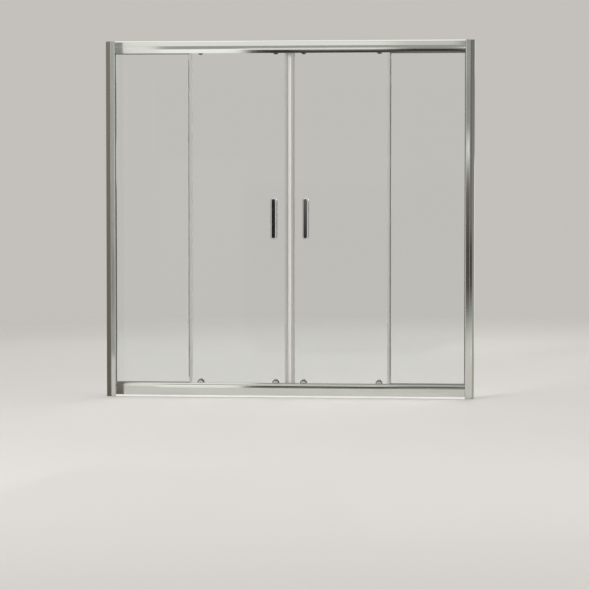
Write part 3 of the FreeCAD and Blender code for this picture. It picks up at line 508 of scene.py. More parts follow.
def white_pvc(name, shades, along):
    """Extruded PVC, opaque, with a soft gloss, faint lines along the strip and a little dust."""
    material, tree = blank(name)
    place = add(tree, "TexCoord").outputs["Object"]
    # extrusion lines about 3 mm apart, hardly raised, and clouds of dust some 60 mm across
    drawn = add(tree, "Mapping", {"Vector": place, "Scale": lines_along(along, 3, 2)}).outputs[0]
    lines = add(tree, "TexNoise", {"Vector": drawn, "Scale": 1, "Detail": 3}).outputs[0]
    cloud = add(tree, "TexNoise", {"Vector": place, "Scale": 1000 / 60, "Detail": 4}).outputs[0]
    surface(tree, cloud, shades, cloud, (0.28, 0.42), [(lines, 0.2, 0.1)], {"IOR": 1.53})
    return material


def frame_of(low, high, corner, inset=0):
    """A rounded rectangle between two corners, drawn in by an inset."""
    left, down, right, up = low[0] + inset, low[1] + inset, high[0] - inset, high[1] - inset
    return rounded([(left, down, corner), (right, down, corner), (right, up, corner), (left, up, corner)])


sill_pvc = white_pvc("white_pvc_sill_strip", ("#f8f7f5", "#f0efec"), "X")

low, high = cad("sill_seal")
foot, top = (low.y, low.z), (high.y, high.z)
hollow = frame_of(foot, top, sill_inside, sill_wall)
sill = extrusion("sill_strip", "X", low.x, high.x, frame_of(foot, top, sill_corner), [hollow])
fit(sill, "frame", "sill_seal", "white_pvc", sill_pvc)


# The wall channels and the side posts: bright-anodised extrusions too. The channel is a U with
# countersunk holes in its back, whose face falls away a little. The hollow post slides in it.

sides = ((-1, "left"), (1, "right"))
channel_wall = 2
channel_fall = 0.8
channel_edge = 0.8
channel_lip = 0.3
inner_corner = 0.6
wall_hole = 2.75
wall_hole_sink = 5.2
wall_hole_sides = 32
wall_hole_heights = (150, 725, 1300)
drill_past, drill_short = 4, -8
post_corner = 3
post_wall = 1.6
post_slot = 14
post_steps = 8
chamber_steps = 3
least_radius = 0.001


def settle(made):
    """Works a piece's modifiers into its mesh."""
    graph = bpy.context.evaluated_depsgraph_get()
    mesh = bpy.data.meshes.new_from_object(made.evaluated_get(graph))
    made.modifiers.clear()
    made.data = mesh


def turn(bm, axis, place, outline, steps=48, closed=False):
    """Adds an outline of (radius, height) points turned about an axis through a place."""
    rings = []
    for radius, height in outline:
        ring = []
        for step in range(steps if radius > least_radius else 1):
            angle = 2 * math.pi * step / steps
            point = Vector(space(axis, height, radius * math.cos(angle), radius * math.sin(angle)))
            ring.append(bm.verts.new(point + Vector(place)))
        rings.append(ring)
    for number in range(0 if closed else 1, len(rings)):
        first, second = rings[number - 1], rings[number]
        for step in range(steps):
            corners = [first[step % len(first)], first[(step + 1) % len(first)],
                       second[(step + 1) % len(second)], second[step % len(second)]]
            corners = list(dict.fromkeys(corners))
            if len(corners) > 2:
                bm.faces.new(corners)


def cut(made, bm, side=1):
    """Takes a shape drawn in millimetres away from a piece."""
    cutter = piece("cutter", bm, side)
    knife = made.modifiers.new("cut", "BOOLEAN")
    knife.object = cutter
    knife.operation = "DIFFERENCE"
    knife.solver = "EXACT"
    made.modifiers.move(len(made.modifiers) - 1, 0)
    settle(made)
    polish(made)
    bpy.data.objects.remove(cutter)


for side, word in sides:
    low, high = cad("wall_channel_right")
    inner, back = high.y - channel_wall, high.x - channel_wall
    outline = []
    for step in range(arc_steps, -1, -1):
        share = step / arc_steps
        across, depth = low.x + (high.x - low.x) * share, low.y + channel_fall * share ** 2
        outline.append((across, depth, 0 if step else channel_edge))
    outline += [(low.x, -inner, channel_lip), (back, -inner, inner_corner), (back, inner, inner_corner),
                (low.x, inner, channel_lip), (low.x, high.y, channel_edge), (high.x, high.y, 0)]
    name = f"wall_channel_{word}_extrusion"
    channel = extrusion(name, "Z", low.z, high.z, rounded(outline), (), side, smooth_angle)
    holes = bmesh.new()
    for height in wall_hole_heights:
        hole = [(0, drill_past), (wall_hole, drill_past), (wall_hole, 0), (wall_hole_sink, -channel_wall),
                (wall_hole_sink, drill_short), (0, drill_short)]
        turn(holes, "X", (high.x, 0, height), hole, wall_hole_sides)
    cut(channel, holes, side)
    fit(channel, "frame", f"wall_channel_{word}", "bright_aluminium", post_aluminium)

    low, high = cad("side_post_right")
    edge, back, deep = low.x, high.x, high.y
    bed = edge + post_slot
    outline = [(edge, -deep, post_corner), (back, -deep, inner_corner), (back, deep, inner_corner),
               (edge, deep, post_corner), (edge, slot_sides[1], slot_lip), (bed, slot_sides[1], 0),
               (bed, slot_sides[0], 0), (edge, slot_sides[0], slot_lip)]
    inner, near, far = deep - post_wall, back - post_wall, edge + post_wall
    step_up = slot_sides[1] + rib_wall
    chamber = rounded([(x, y, soft_corner) for x, y in (
        (bed + post_wall, -inner), (near, -inner), (near, inner), (far, inner), (far, step_up),
        (bed + post_wall, step_up))], chamber_steps)
    name, outline = f"side_post_{word}_extrusion", rounded(outline, post_steps)
    post = extrusion(name, "Z", low.z, high.z, outline, [chamber], side, smooth_angle)
    fit(post, "frame", f"side_post_{word}", "bright_aluminium", post_aluminium)


# The post caps: grey ABS, moulded, with a fine spark-eroded grain. Each closes the top of a post and
# its channel, and grips the post with a plug that reaches down inside it.

cap_corner = 2.5
cap_edge = 0.5
sharp_from = 35
plug_low = (730.2, -19.8)
plug_high = (741.8, 19.8)
plug_corner = 1
plug_wall = 1.6


def ease(made, width, segments=2):
    """Breaks the sharp edges of a piece by this many millimetres."""
    bevel = made.modifiers.new("broken_edges", "BEVEL")
    bevel.width = width / 1000
    bevel.segments = segments
    bevel.limit_method = "ANGLE"
    bevel.angle_limit = math.radians(sharp_from)
    made.modifiers.move(len(made.modifiers) - 1, 0)
    return made


def grained(name, shades, gloss, grain, cloud=None, relief=None, shader=None):
    """A material with a fine grain that varies its roughness between two values, and can stand in
    relief. Its tone changes from one shade to the other with the cloud, or else with the grain.
    Grain and cloud are a width in millimetres and a detail, relief a strength and a height."""
    material, tree = blank(name)
    place = add(tree, "TexCoord").outputs["Object"]
    patterns = [add(tree, "TexNoise", {"Vector": place, "Scale": 1000 / width, "Detail": detail}).outputs[0]
                for width, detail in ([grain, cloud] if cloud else [grain])]
    reliefs = [(patterns[0], *relief)] if relief else ()
    surface(tree, patterns[-1], shades, patterns[0], gloss, reliefs, shader)
    return material


# the grain is 0.3 mm; at 0.8 mm it is coarse enough to show
cap_abs = grained("grey_abs_moulding", ("#9b9a97", "#8c8b88"), (0.38, 0.55), (0.8, 3),
                  relief=(0.3, 0.08), shader={"IOR": 1.54})

for side, word in sides:
    low, high = cad("post_cap_right")
    under = cad("side_post_right")[1].z
    mesh = bmesh.new()
    plan = [(low.x, low.y, cap_corner), (high.x, low.y, soft_corner), (high.x, high.y, soft_corner),
            (low.x, high.y, cap_corner)]
    sweep(mesh, "Z", under, high.z, rounded(plan))
    sweep(mesh, "Z", low.z, under, frame_of(plug_low, plug_high, plug_corner),
          [frame_of(plug_low, plug_high, soft_corner, plug_wall)])
    cap = ease(piece(f"post_cap_{word}_moulding", mesh, side), cap_edge)
    fit(cap, "frame", f"post_cap_{word}", "grey_plastic", cap_abs)


# The screws: turned stainless steel with cross recesses. Eight pan heads hold the rails to the posts
# from inside, and six in the rear flanges lock the posts in their channels.

screw_shank = 1.85
screw_tip = 2
tip_share = 0.4
thread_pitch = 1.4
thread_depth = 0.35
screw_neck = 0.6
screw_head = 3.8
head_tall = 2.4
head_edge = 0.3
head_brim = 0.4
head_round = 1.4
head_low = 0.8
head_steps = 5
screw_sides = 32
recess_arm = 2.1
recess_half = 0.45
recess_depth = 1.5
rail_screw_depths = (-3.6, 16.4)
rail_screw_heights = (14.6, 1443.4)
rail_screw_tip = 695.6
lock_screw_across = 738
lock_screw_heights = (120, 725, 1330)

# tool marks 0.15 mm apart, drawn at 0.4 mm, and smears some 5 mm wide
screw_steel = grained("turned_stainless_steel", ("#c9c8c5", "#b2b0ac"), (0.18, 0.34), (0.4, 2),
                      cloud=(5, 3), relief=(0.15, 0.05), shader={"Metallic": 1})


def quarter(steps):
    """The cosine and the sine at each step of a quarter turn."""
    angles = [math.pi / 2 * step / steps for step in range(steps + 1)]
    return [(math.cos(angle), math.sin(angle)) for angle in angles]


def cross_recess(bm, axis, place, sense):
    """Adds the cutter of a cross recess, which goes down into a head from its top at place."""
    arm, half = recess_arm, recess_half
    plus = [(arm, -half), (arm, half), (half, half), (half, arm), (-half, arm), (-half, half),
            (-arm, half), (-arm, -half), (-half, -half), (-half, -arm), (half, -arm), (half, -half)]
    along = "XYZ".index(axis)
    others = [number for number in range(3) if number != along]
    spots = [(a + place[others[0]], b + place[others[1]]) for a, b in plus]
    low, high = sorted((place[along] - recess_depth * sense, place[along] + sense))
    sweep(bm, axis, low, high, spots)


def screw(bm, axis, place, length, sense):
    """Adds a pan-head screw. Its head stands out from place by sense, its shank the other way."""
    outline = [(0, -length), (screw_shank * tip_share, -length), (screw_shank, -length + screw_tip)]
    for number in range(int((length - 2 * screw_tip) / thread_pitch)):
        start = -length + screw_tip + number * thread_pitch
        outline += [(screw_shank, start), (screw_shank - thread_depth, start + thread_pitch / 2)]
    outline += [(screw_shank, -screw_neck), (screw_shank, 0), (screw_head - head_edge, 0),
                (screw_head, head_brim)]
    outline += [(screw_head - head_round * (1 - cosine), head_low + (head_tall - head_low) * sine)
                for cosine, sine in quarter(head_steps)]
    outline.append((0, head_tall))
    turn(bm, axis, place, [(radius, height * sense) for radius, height in outline], screw_sides)


def screw_set(node, axis, heads, length):
    """Makes like screws, each given by the top of its head and the way that the head stands out."""
    mesh, recesses = bmesh.new(), bmesh.new()
    for top, sense in heads:
        seat = list(top)
        seat["XYZ".index(axis)] -= head_tall * sense
        screw(mesh, axis, seat, length, sense)
        cross_recess(recesses, axis, top, sense)
    made = piece(f"{node}_turned", mesh)
    cut(made, recesses)
    fit(made, "frame", node, "stainless_steel", screw_steel)


high = cad("rail_screws")[1]
heads = [((high.x * side, depth, height), side)
         for side in (-1, 1) for depth in rail_screw_depths for height in rail_screw_heights]
screw_set("rail_screws", "X", heads, high.x - head_tall - rail_screw_tip)

low, high = cad("lock_screws")
heads = [((lock_screw_across * side, high.y, height), 1)
         for side in (-1, 1) for height in lock_screw_heights]
screw_set("lock_screws", "Y", heads, high.y - head_tall - low.y)


# The glass: 5 mm toughened float glass, clear, with ground edges. The two fixed panes sit in gaskets,
# and the two doors are drilled for their rollers and handles.

arris = 0.7
pane_corner = 2
face_on = 0.95
roller_places = (57, 365)
roller_hole = 5
handle_hole = 4
handle_place = 65
leg_heights = (664, 794)
top_wheel_height = 1421.2
bottom_stud_height = 63.8
pane_low, pane_high = cad("fixed_pane_right")
door_low, door_high = cad("door_glass_right")

float_glass, tree = blank("clear_float_glass")
place = add(tree, "TexCoord").outputs["Object"]
# roller waves of toughened glass, 250 mm apart and a few hundredths of a millimetre deep
waves = add(tree, "TexNoise", {"Vector": place, "Scale": 1000 / 250, "Detail": 1}).outputs[0]
rise = add(tree, "Bump", {"Height": waves, "Strength": 0.2, "Distance": 0.0003}).outputs[0]
glass = add(tree, "BsdfPrincipled", {
    "Base Color": colour("#f8fbf9"), "Roughness": 0, "IOR": 1.52, "Transmission Weight": 1,
    "Normal": rise})
add(tree, "OutputMaterial", {"Surface": glass.outputs[0]})

# grinding marks 0.2 mm apart, drawn at 0.6 mm, in a pale green that shines through a little
ground_glass = grained("ground_glass_edge", ("#d3e4dc", "#bcd4c9"), (0.12, 0.4), (0.6, 3),
                       shader={"IOR": 1.52, "Transmission Weight": 0.7})


def circle(across, up, radius, steps=32):
    """The points round a circle, or the corners of a regular shape if the steps are few."""
    angles = [2 * math.pi * step / steps for step in range(steps)]
    return [(across + radius * math.cos(angle), up + radius * math.sin(angle)) for angle in angles]


def glass_plate(name, low, high, side, body, node, holes=()):
    """A glass pane between two corners, with an arris on every edge and ground edge faces."""
    plan = frame_of((low.x, low.z), (high.x, high.z), pane_corner)
    pane = ease(extrusion(name, "Y", low.y, high.y, plan, holes, side), arris, segments=1)
    settle(pane)
    fit(pane, body, node, "clear_glass", float_glass, ground_glass)
    for polygon in pane.data.polygons:
        polygon.material_index = 0 if abs(polygon.normal.y) > face_on else 1
    pane.visible_shadow = False


roller_heights = (top_wheel_height, bottom_stud_height)
drilled = [circle(across, up, roller_hole) for across in roller_places for up in roller_heights]
drilled += [circle(handle_place, up, handle_hole) for up in leg_heights]
for side, word in sides:
    glass_plate(f"fixed_glass_{word}", pane_low, pane_high, side, "frame", f"fixed_pane_{word}")
    door = f"door_{word}"
    glass_plate(f"sliding_glass_{word}", door_low, door_high, side, door, f"door_glass_{word}", drilled)


# The seals where a door passes behind a fixed pane: translucent PVC, extruded. Each is a clip pushed
# on the glass edge, with a thin fin that nearly touches the other pane. The glazing gasket is a soft
# smoke-grey PVC, pressed into the slots of the rails and posts round the pane.

clip_wall = 1.5
clip_web = 2
clip_reach = 8
clip_corner = 1
clip_tip = 0.7
clip_inside = 0.4
fin_wall = 1.2
fin_root = 0.6
fin_tip = 0.55
fin_heights = (82, 1376)
gasket_head = 3.6
gasket_over = 0.9
gasket_fall = 0.9
gasket_brow = 0.8
gasket_edge = 0.2
gasket_lean = 0.3
gasket_joint = 0.1

seal_pvc, tree = blank("translucent_pvc_extrusion")
place = add(tree, "TexCoord").outputs["Object"]
# draw lines along the strip, 1.5 mm apart, and a slow cloudiness
drawn = add(tree, "Mapping", {"Vector": place, "Scale": lines_along("Z", 1.5, 2)}).outputs[0]
lines = add(tree, "TexNoise", {"Vector": drawn, "Scale": 1, "Detail": 3}).outputs[0]
cloud = add(tree, "TexNoise", {"Vector": place, "Scale": 1000 / 80, "Detail": 3}).outputs[0]
surface(tree, cloud, ("#efedea", "#e3e1de"), lines, (0.22, 0.4), [(lines, 0.2, 0.1)],
        {"IOR": 1.53, "Transmission Weight": 0.5})

# soft PVC with a matt bloom, in patches some 4 mm wide
gasket_pvc = grained("smoke_grey_pvc_gasket", ("#6c6a66", "#5c5a57"), (0.4, 0.6), (4, 3),
                     shader={"IOR": 1.53})


def edge_seal(kind, body, side, word, edge, sense, glass, fin_end):
    """A clip on a glass edge with its fin. The clip reaches over the glass by sense."""
    low, high = cad(f"{kind}_edge_seal_right")
    web, reach = edge - clip_web * sense, edge + clip_reach * sense
    front, back = glass[0] - clip_wall, glass[1] + clip_wall
    clip = [(web, front, clip_corner), (reach, front, clip_tip), (reach, glass[0], 0),
            (edge, glass[0], clip_inside), (edge, glass[1], clip_inside), (reach, glass[1], 0),
            (reach, back, clip_tip), (web, back, clip_corner)]
    mesh = bmesh.new()
    sweep(mesh, "Z", low.z, high.z, rounded(clip))
    root = back - fin_root if fin_end > back else front + fin_root
    over = web + fin_wall * sense
    fin = [(web, root, 0), (over, root, 0), (over, fin_end, fin_tip), (web, fin_end, fin_tip)]
    sweep(mesh, "Z", *fin_heights, rounded(fin))
    seal = piece(f"{kind}_seal_{word}", mesh, side)
    fit(seal, body, f"{kind}_edge_seal_{word}", "clear_pvc", seal_pvc)


for side, word in sides:
    fin_end = cad("pane_edge_seal_right")[1].y
    edge_seal("pane", "frame", side, word, pane_low.x, 1, (pane_low.y, pane_high.y), fin_end)
    fin_end = cad("door_edge_seal_right")[0].y
    edge_seal("door", f"door_{word}", side, word, door_high.x, -1, (door_low.y, door_high.y), fin_end)

    # the gasket: a channel round the pane with a head that stands out over each lip, on the glass
    low, high = cad("pane_gasket_right")
    lips = ((cad("bottom_rail")[1].z, low.z, pane_low.z, 1),
            (cad("top_rail")[0].z, high.z, pane_high.z, -1),
            (cad("side_post_right")[0].x, high.x, pane_high.x, -1))
    ends = (cad("pane_edge_seal_right")[1].x + gasket_joint, lips[2][0] - gasket_joint)
    out = low.y - gasket_over
    mesh = bmesh.new()
    for number, (lip, base, foot, sense) in enumerate(lips):
        top = lip + gasket_head * sense
        half = [(low.y, base, gasket_edge), (low.y, lip, 0), (out, lip, gasket_lean),
                (out + gasket_lean, top - gasket_fall * sense, gasket_brow),
                (pane_low.y, top, gasket_edge), (pane_low.y, foot, 0)]
        both_faces = pane_low.y + pane_high.y
        outline = rounded(half + [(both_faces - depth, up, soft) for depth, up, soft in reversed(half)])
        if number < 2:
            sweep(mesh, "X", *ends, outline)
        else:
            sweep(mesh, "Z", lips[0][0], lips[1][0], [(up, depth) for depth, up in outline])
    gasket = piece(f"glazing_gasket_{word}", mesh, side)
    fit(gasket, "frame", f"pane_gasket_{word}", "clear_pvc", gasket_pvc)


# The meeting edges of the doors: a profile of satin-anodised aluminium pushed on the glass, and in it
# a white PVC magnet seal with a soft nose. A strip of bonded ferrite runs in the seal's pocket.

profile_crown = 0.8
profile_wall = 1.8
profile_web = 1.5
profile_edge = 0.6
profile_cheek = 0.5
profile_lip = 0.2
nose_corner = 1.5
nose_lip = 0.3
nose_wall = 0.9
tail_gap = 0.2
tail_corner = 0.4
pocket_wide = 3
pocket_corner = 0.2

satin_aluminium, tree = blank("satin_anodised_aluminium")
place = add(tree, "TexCoord").outputs["Object"]
# brushing along the strip, with hairs 0.3 mm apart, drawn at 0.8 mm
drawn = add(tree, "Mapping", {"Vector": place, "Scale": lines_along("Z", 0.8, 6)}).outputs[0]
hairs = add(tree, "TexNoise", {"Vector": drawn, "Scale": 1, "Detail": 4, "Roughness": 0.65}).outputs[0]
surface(tree, hairs, ("#dcdcda", "#cacac8"), hairs, (0.3, 0.42), [(hairs, 0.2, 0.03)],
        {"Metallic": 1}, spread=(0.3, 0.7))

nose_pvc = white_pvc("white_pvc_magnet_seal", ("#dcd9d7", "#d2cfcd"), "Z")

# dull and nearly black, with specks of the powder that it is bonded from
magnet_ferrite = grained("bonded_ferrite_strip", ("#3a3532", "#292523"), (0.5, 0.75), (0.8, 4))


def dress(node, material):
    """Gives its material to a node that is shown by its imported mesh."""
    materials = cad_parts[node].data.materials
    materials.clear()
    materials.append(material)


for side, word in sides:
    low, high = cad("door_edge_profile_right")
    seal_low, seal_high = cad("magnet_seal_right")
    inner = (low.y + profile_wall, high.y - profile_wall)
    web = seal_high.x + tail_gap
    web_end = web + profile_web
    cheek = profile_crown + profile_cheek
    crowned = []
    for step in range(arc_steps + 1):
        share = step / arc_steps
        across = low.x + (high.x - low.x - profile_edge) * share
        crowned.append((across, profile_crown * (2 * share - 1) ** 2))
    outline = [(across, low.y + drop, 0) for across, drop in crowned]
    outline += [(high.x, low.y + cheek, 0), (high.x, inner[0], profile_lip), (web_end, inner[0], 0),
                (web_end, inner[1], 0), (high.x, inner[1], profile_lip), (high.x, high.y - cheek, 0)]
    outline += [(across, high.y - drop, 0) for across, drop in reversed(crowned)]
    outline += [(low.x, inner[1], profile_lip), (web, inner[1], 0), (web, inner[0], 0),
                (low.x, inner[0], profile_lip)]
    name = f"door_profile_{word}"
    profile = extrusion(name, "Z", low.z, high.z, rounded(outline), (), side, smooth_angle)
    fit(profile, f"door_{word}", f"door_edge_profile_{word}", "bright_aluminium", satin_aluminium)

    front, back = inner[0] + tail_gap, inner[1] - tail_gap
    outline = [(seal_low.x, low.y, nose_corner), (low.x, low.y, nose_lip), (low.x, front, profile_lip),
               (seal_high.x, front, tail_corner), (seal_high.x, back, tail_corner),
               (low.x, back, profile_lip), (low.x, high.y, nose_lip), (seal_low.x, high.y, nose_corner)]
    start = seal_low.x + nose_wall
    pocket = frame_of((start, inner[0]), (start + pocket_wide, inner[1]), pocket_corner)
    name = f"magnet_nose_{word}"
    nose = extrusion(name, "Z", seal_low.z, seal_high.z, rounded(outline), [pocket], side)
    fit(nose, f"door_{word}", f"magnet_seal_{word}", "white_pvc", nose_pvc)
    dress(f"magnet_strip_{word}", magnet_ferrite)


# The wheels: turned from white nylon, with a deep groove that straddles the rail's rib. Each side is
# hollowed, and a bearing ring of steel is pressed in at the bore.

# one half of the tyre and of the ring, each point a radius and a distance from the wheel's middle
half_tyre = ((3.08, 1.8), (8, 1.8), (8.5, 2.3), (8.8, 2.5), (11.2, 2.5), (11.5, 2.2), (11.5, 1.8),
             (11.3, 1.65), (9.4, 1.4), (9, 1.1))
half_ring = ((3.08, 2.4), (4.4, 2.4), (4.6, 2.2), (4.6, 1.82), (3.08, 1.82))
wheel_smooth_angle = 28
tyre_sides = 64

# turning marks 0.2 mm apart, drawn at 0.5 mm, and a faint yellowing in patches some 6 mm wide
wheel_nylon = grained("turned_white_nylon", ("#e9e7df", "#dbd8ce"), (0.35, 0.5), (0.5, 2),
                      cloud=(6, 3), relief=(0.15, 0.05), shader={"IOR": 1.53})

for side, word in sides:
    for place_word, across in zip(("inner", "outer"), roller_places):
        for level in ("top", "bottom"):
            node = f"{level}_wheel_{place_word}_{word}"
            low, high = cad(node)
            centre = (across, 0, (low.z + high.z) / 2)
            mesh = bmesh.new()
            outline = [*half_tyre, *((radius, -height) for radius, height in reversed(half_tyre))]
            turn(mesh, "Y", centre, outline, tyre_sides, closed=True)
            faces_of_tyre = len(mesh.faces)
            for sense in (-1, 1):
                ring = [(radius, height * sense) for radius, height in half_ring]
                turn(mesh, "Y", centre, ring, closed=True)
            wheel = piece(f"{level}_roller_{place_word}_{word}", mesh, side, sharp=wheel_smooth_angle)
            fit(wheel, node, node, "nylon", wheel_nylon, screw_steel)
            for polygon in wheel.data.polygons:
                polygon.material_index = 0 if polygon.index < faces_of_tyre else 1


# The top roller fittings: on the front of the glass a plate moulded in dark nylon, whose round foot
# shows under the rail, a stainless steel bolt through it as the axle, and a low chromed cap behind.

plate_half = 13.5
plate_thick = 4
plate_corner = 3
plate_edge = 0.6
plate_steps = 10
hub_edge = 0.3
hub_sides = 40
bolt_play = 0.05
bolt_head = 5
bolt_head_tall = 2
bolt_edge = 0.5
bolt_shank = 3
bolt_tip = 0.4
hex_half = 2.0
hex_depth = 1.2
hex_past = 1
dome_radius = 10
dome_rim = 1.2
dome_foot = 0.4
dome_steps = 8
dome_sides = 64

mirror_chrome, tree = blank("mirror_chrome_plate")
place = add(tree, "TexCoord").outputs["Object"]
# faint wipe marks about 12 mm long, and the ripple of polished zinc under the plate
wipes = add(tree, "TexNoise", {"Vector": place, "Scale": 1000 / 12, "Detail": 4}).outputs[0]
ripple = add(tree, "TexNoise", {"Vector": place, "Scale": 1000 / 40, "Detail": 1}).outputs[0]
surface(tree, wipes, ("#d6d6d7", "#c8c8ca"), wipes, (0.02, 0.08), [(ripple, 0.2, 0.1)],
        {"Metallic": 1}, spread=(0.3, 0.7))

# a moulded grain of 0.3 mm, drawn at 0.7 mm
dark_nylon = grained("dark_grey_nylon_moulding", ("#464443", "#353332"), (0.35, 0.5), (0.7, 3),
                     relief=(0.2, 0.06), shader={"IOR": 1.53})


def dome_cap(bm, across, height):
    """Adds a low domed cap on the rear face of the door glass."""
    foot, top = door_high.y, cad("roller_caps_right")[1].y
    outline = [(0, foot), (dome_radius - dome_foot, foot), (dome_radius, foot + dome_foot)]
    outline += [(dome_radius * cosine, foot + dome_rim + (top - foot - dome_rim) * sine)
                for cosine, sine in quarter(dome_steps)]
    outline[-1] = (0, top)
    turn(bm, "Y", (across, 0, height), outline, dome_sides)


for side, word in sides:
    low, high = cad("top_roller_brackets_right")
    bolt_low, bolt_high = cad("top_roller_bolts_right")
    plate_front = door_low.y - plate_thick
    face = bolt_low.y + bolt_head_tall
    bore = bolt_shank + bolt_play
    hub = [(bore, low.y), (bolt_head - hub_edge, low.y), (bolt_head, low.y + hub_edge),
           (bolt_head, plate_front), (bore, plate_front)]
    axle = [(0, bolt_low.y), (bolt_head - bolt_edge, bolt_low.y), (bolt_head, bolt_low.y + bolt_edge),
            (bolt_head, face), (bolt_shank, face), (bolt_shank, bolt_high.y - bolt_tip),
            (bolt_shank - bolt_tip, bolt_high.y), (0, bolt_high.y)]
    plates, bolts, sockets, caps = bmesh.new(), bmesh.new(), bmesh.new(), bmesh.new()
    for across in roller_places:
        left, right = across - plate_half, across + plate_half
        plate = rounded([(left, low.z, plate_half), (right, low.z, plate_half),
                         (right, high.z, plate_corner), (left, high.z, plate_corner)], plate_steps)
        sweep(plates, "Y", plate_front, door_low.y, plate, [circle(across, top_wheel_height, bore)])
        turn(plates, "Y", (across, 0, top_wheel_height), hub, hub_sides, closed=True)
        turn(bolts, "Y", (across, 0, top_wheel_height), axle)
        hexagon = circle(across, top_wheel_height, hex_half / math.cos(math.pi / 6), steps=6)
        sweep(sockets, "Y", bolt_low.y - hex_past, bolt_low.y + hex_depth, hexagon)
        dome_cap(caps, across, top_wheel_height)
        dome_cap(caps, across, bottom_stud_height)
    bracket = ease(piece(f"roller_plates_{word}", plates, side), plate_edge, segments=3)
    fit(bracket, f"door_{word}", f"top_roller_brackets_{word}", "handle_chrome", dark_nylon)
    bolt = piece(f"roller_axles_{word}", bolts, side)
    cut(bolt, sockets, side)
    fit(bolt, f"door_{word}", f"top_roller_bolts_{word}", "stainless_steel", screw_steel)
    cap = piece(f"roller_caps_{word}_domed", caps, side)
    fit(cap, f"door_{word}", f"roller_caps_{word}", "handle_chrome", mirror_chrome)


# The sprung bottom rollers: a domed housing moulded in dark nylon under a chromed cover, a carrier
# with a push button that holds the wheel under the rail's rib, and a coil spring of stainless wire.

housing_half = 14
housing_shoulder = 1
housing_dome = 0.8
housing_edge = 3.4
housing_lip = 0.3
housing_steps = 8
housing_smooth_angle = 40
arch_steps = 24
# the chromed cover stands in from the housing's sides, and its rolled edge goes down to a groove,
# given as how much further in and how deep each step is
cover_inset = 4
cover_groove = 0.5
cover_edge = ((2.2, 0), (0.5, 0.1), (0.1, 0.35), (0, 0.7), (-0.3, 0.5))
front_skin = 1.9
rear_skin = 2.1
cavity_half = 6.3
cavity_foot = 1
cavity_roof = 1.2
cavity_corner = 0.5
wheel_slot = (2.9, 5.9)
wheel_slot_corner = 0.3
wheel_slot_past = (-1, 2)
button_radius = 4
button_play = 0.3
button_front = 6.8
button_bore = (-3, 2)
button_sides = 40
wire_radius = 0.35
wire_sides = 8
coil_radius = 1.9
coil_turns = 5
coil_steps = 24


def stack(bm, rings):
    """Adds a solid through rings of points, closed at both ends."""
    made = [[bm.verts.new(point) for point in ring] for ring in rings]
    for first, second in zip(made, made[1:]):
        for number in range(len(first)):
            bm.faces.new((first[number - 1], first[number], second[number], second[number - 1]))
    bm.faces.new(reversed(made[0]))
    bm.faces.new(made[-1])


def arch(across, low, high, inset):
    """The outline of a housing's front: flat below, domed above, drawn in by an inset but at its foot."""
    wide, tall = housing_half - inset, high - low - inset
    points = [(across - wide, low), (across + wide, low)]
    for step in range(arch_steps + 1):
        angle = math.pi * step / arch_steps
        dome = (tall - housing_shoulder) * math.sin(angle) ** housing_dome
        points.append((across + wide * math.cos(angle), low + housing_shoulder + dome))
    return points


def coil(across, depth, low, high):
    """The rings of points round a coil spring's wire, from the spring's foot to its top."""
    line = []
    for step in range(coil_turns * coil_steps + 1):
        angle = 2 * math.pi * step / coil_steps
        out_x, out_y = coil_radius * math.cos(angle), coil_radius * math.sin(angle)
        up = low + wire_radius + (high - low - 2 * wire_radius) * step / (coil_turns * coil_steps)
        line.append(Vector((across + out_x, depth + out_y, up)))
    rings = []
    for number, point in enumerate(line):
        ahead = line[min(number + 1, len(line) - 1)] - line[max(number - 1, 0)]
        out = Vector((point.x - across, point.y - depth, 0)).normalized()
        over = ahead.normalized().cross(out).normalized()
        angles = [2 * math.pi * step / wire_sides for step in range(wire_sides)]
        rings.append([point + (out * math.cos(a) + over * math.sin(a)) * wire_radius for a in angles])
    return rings


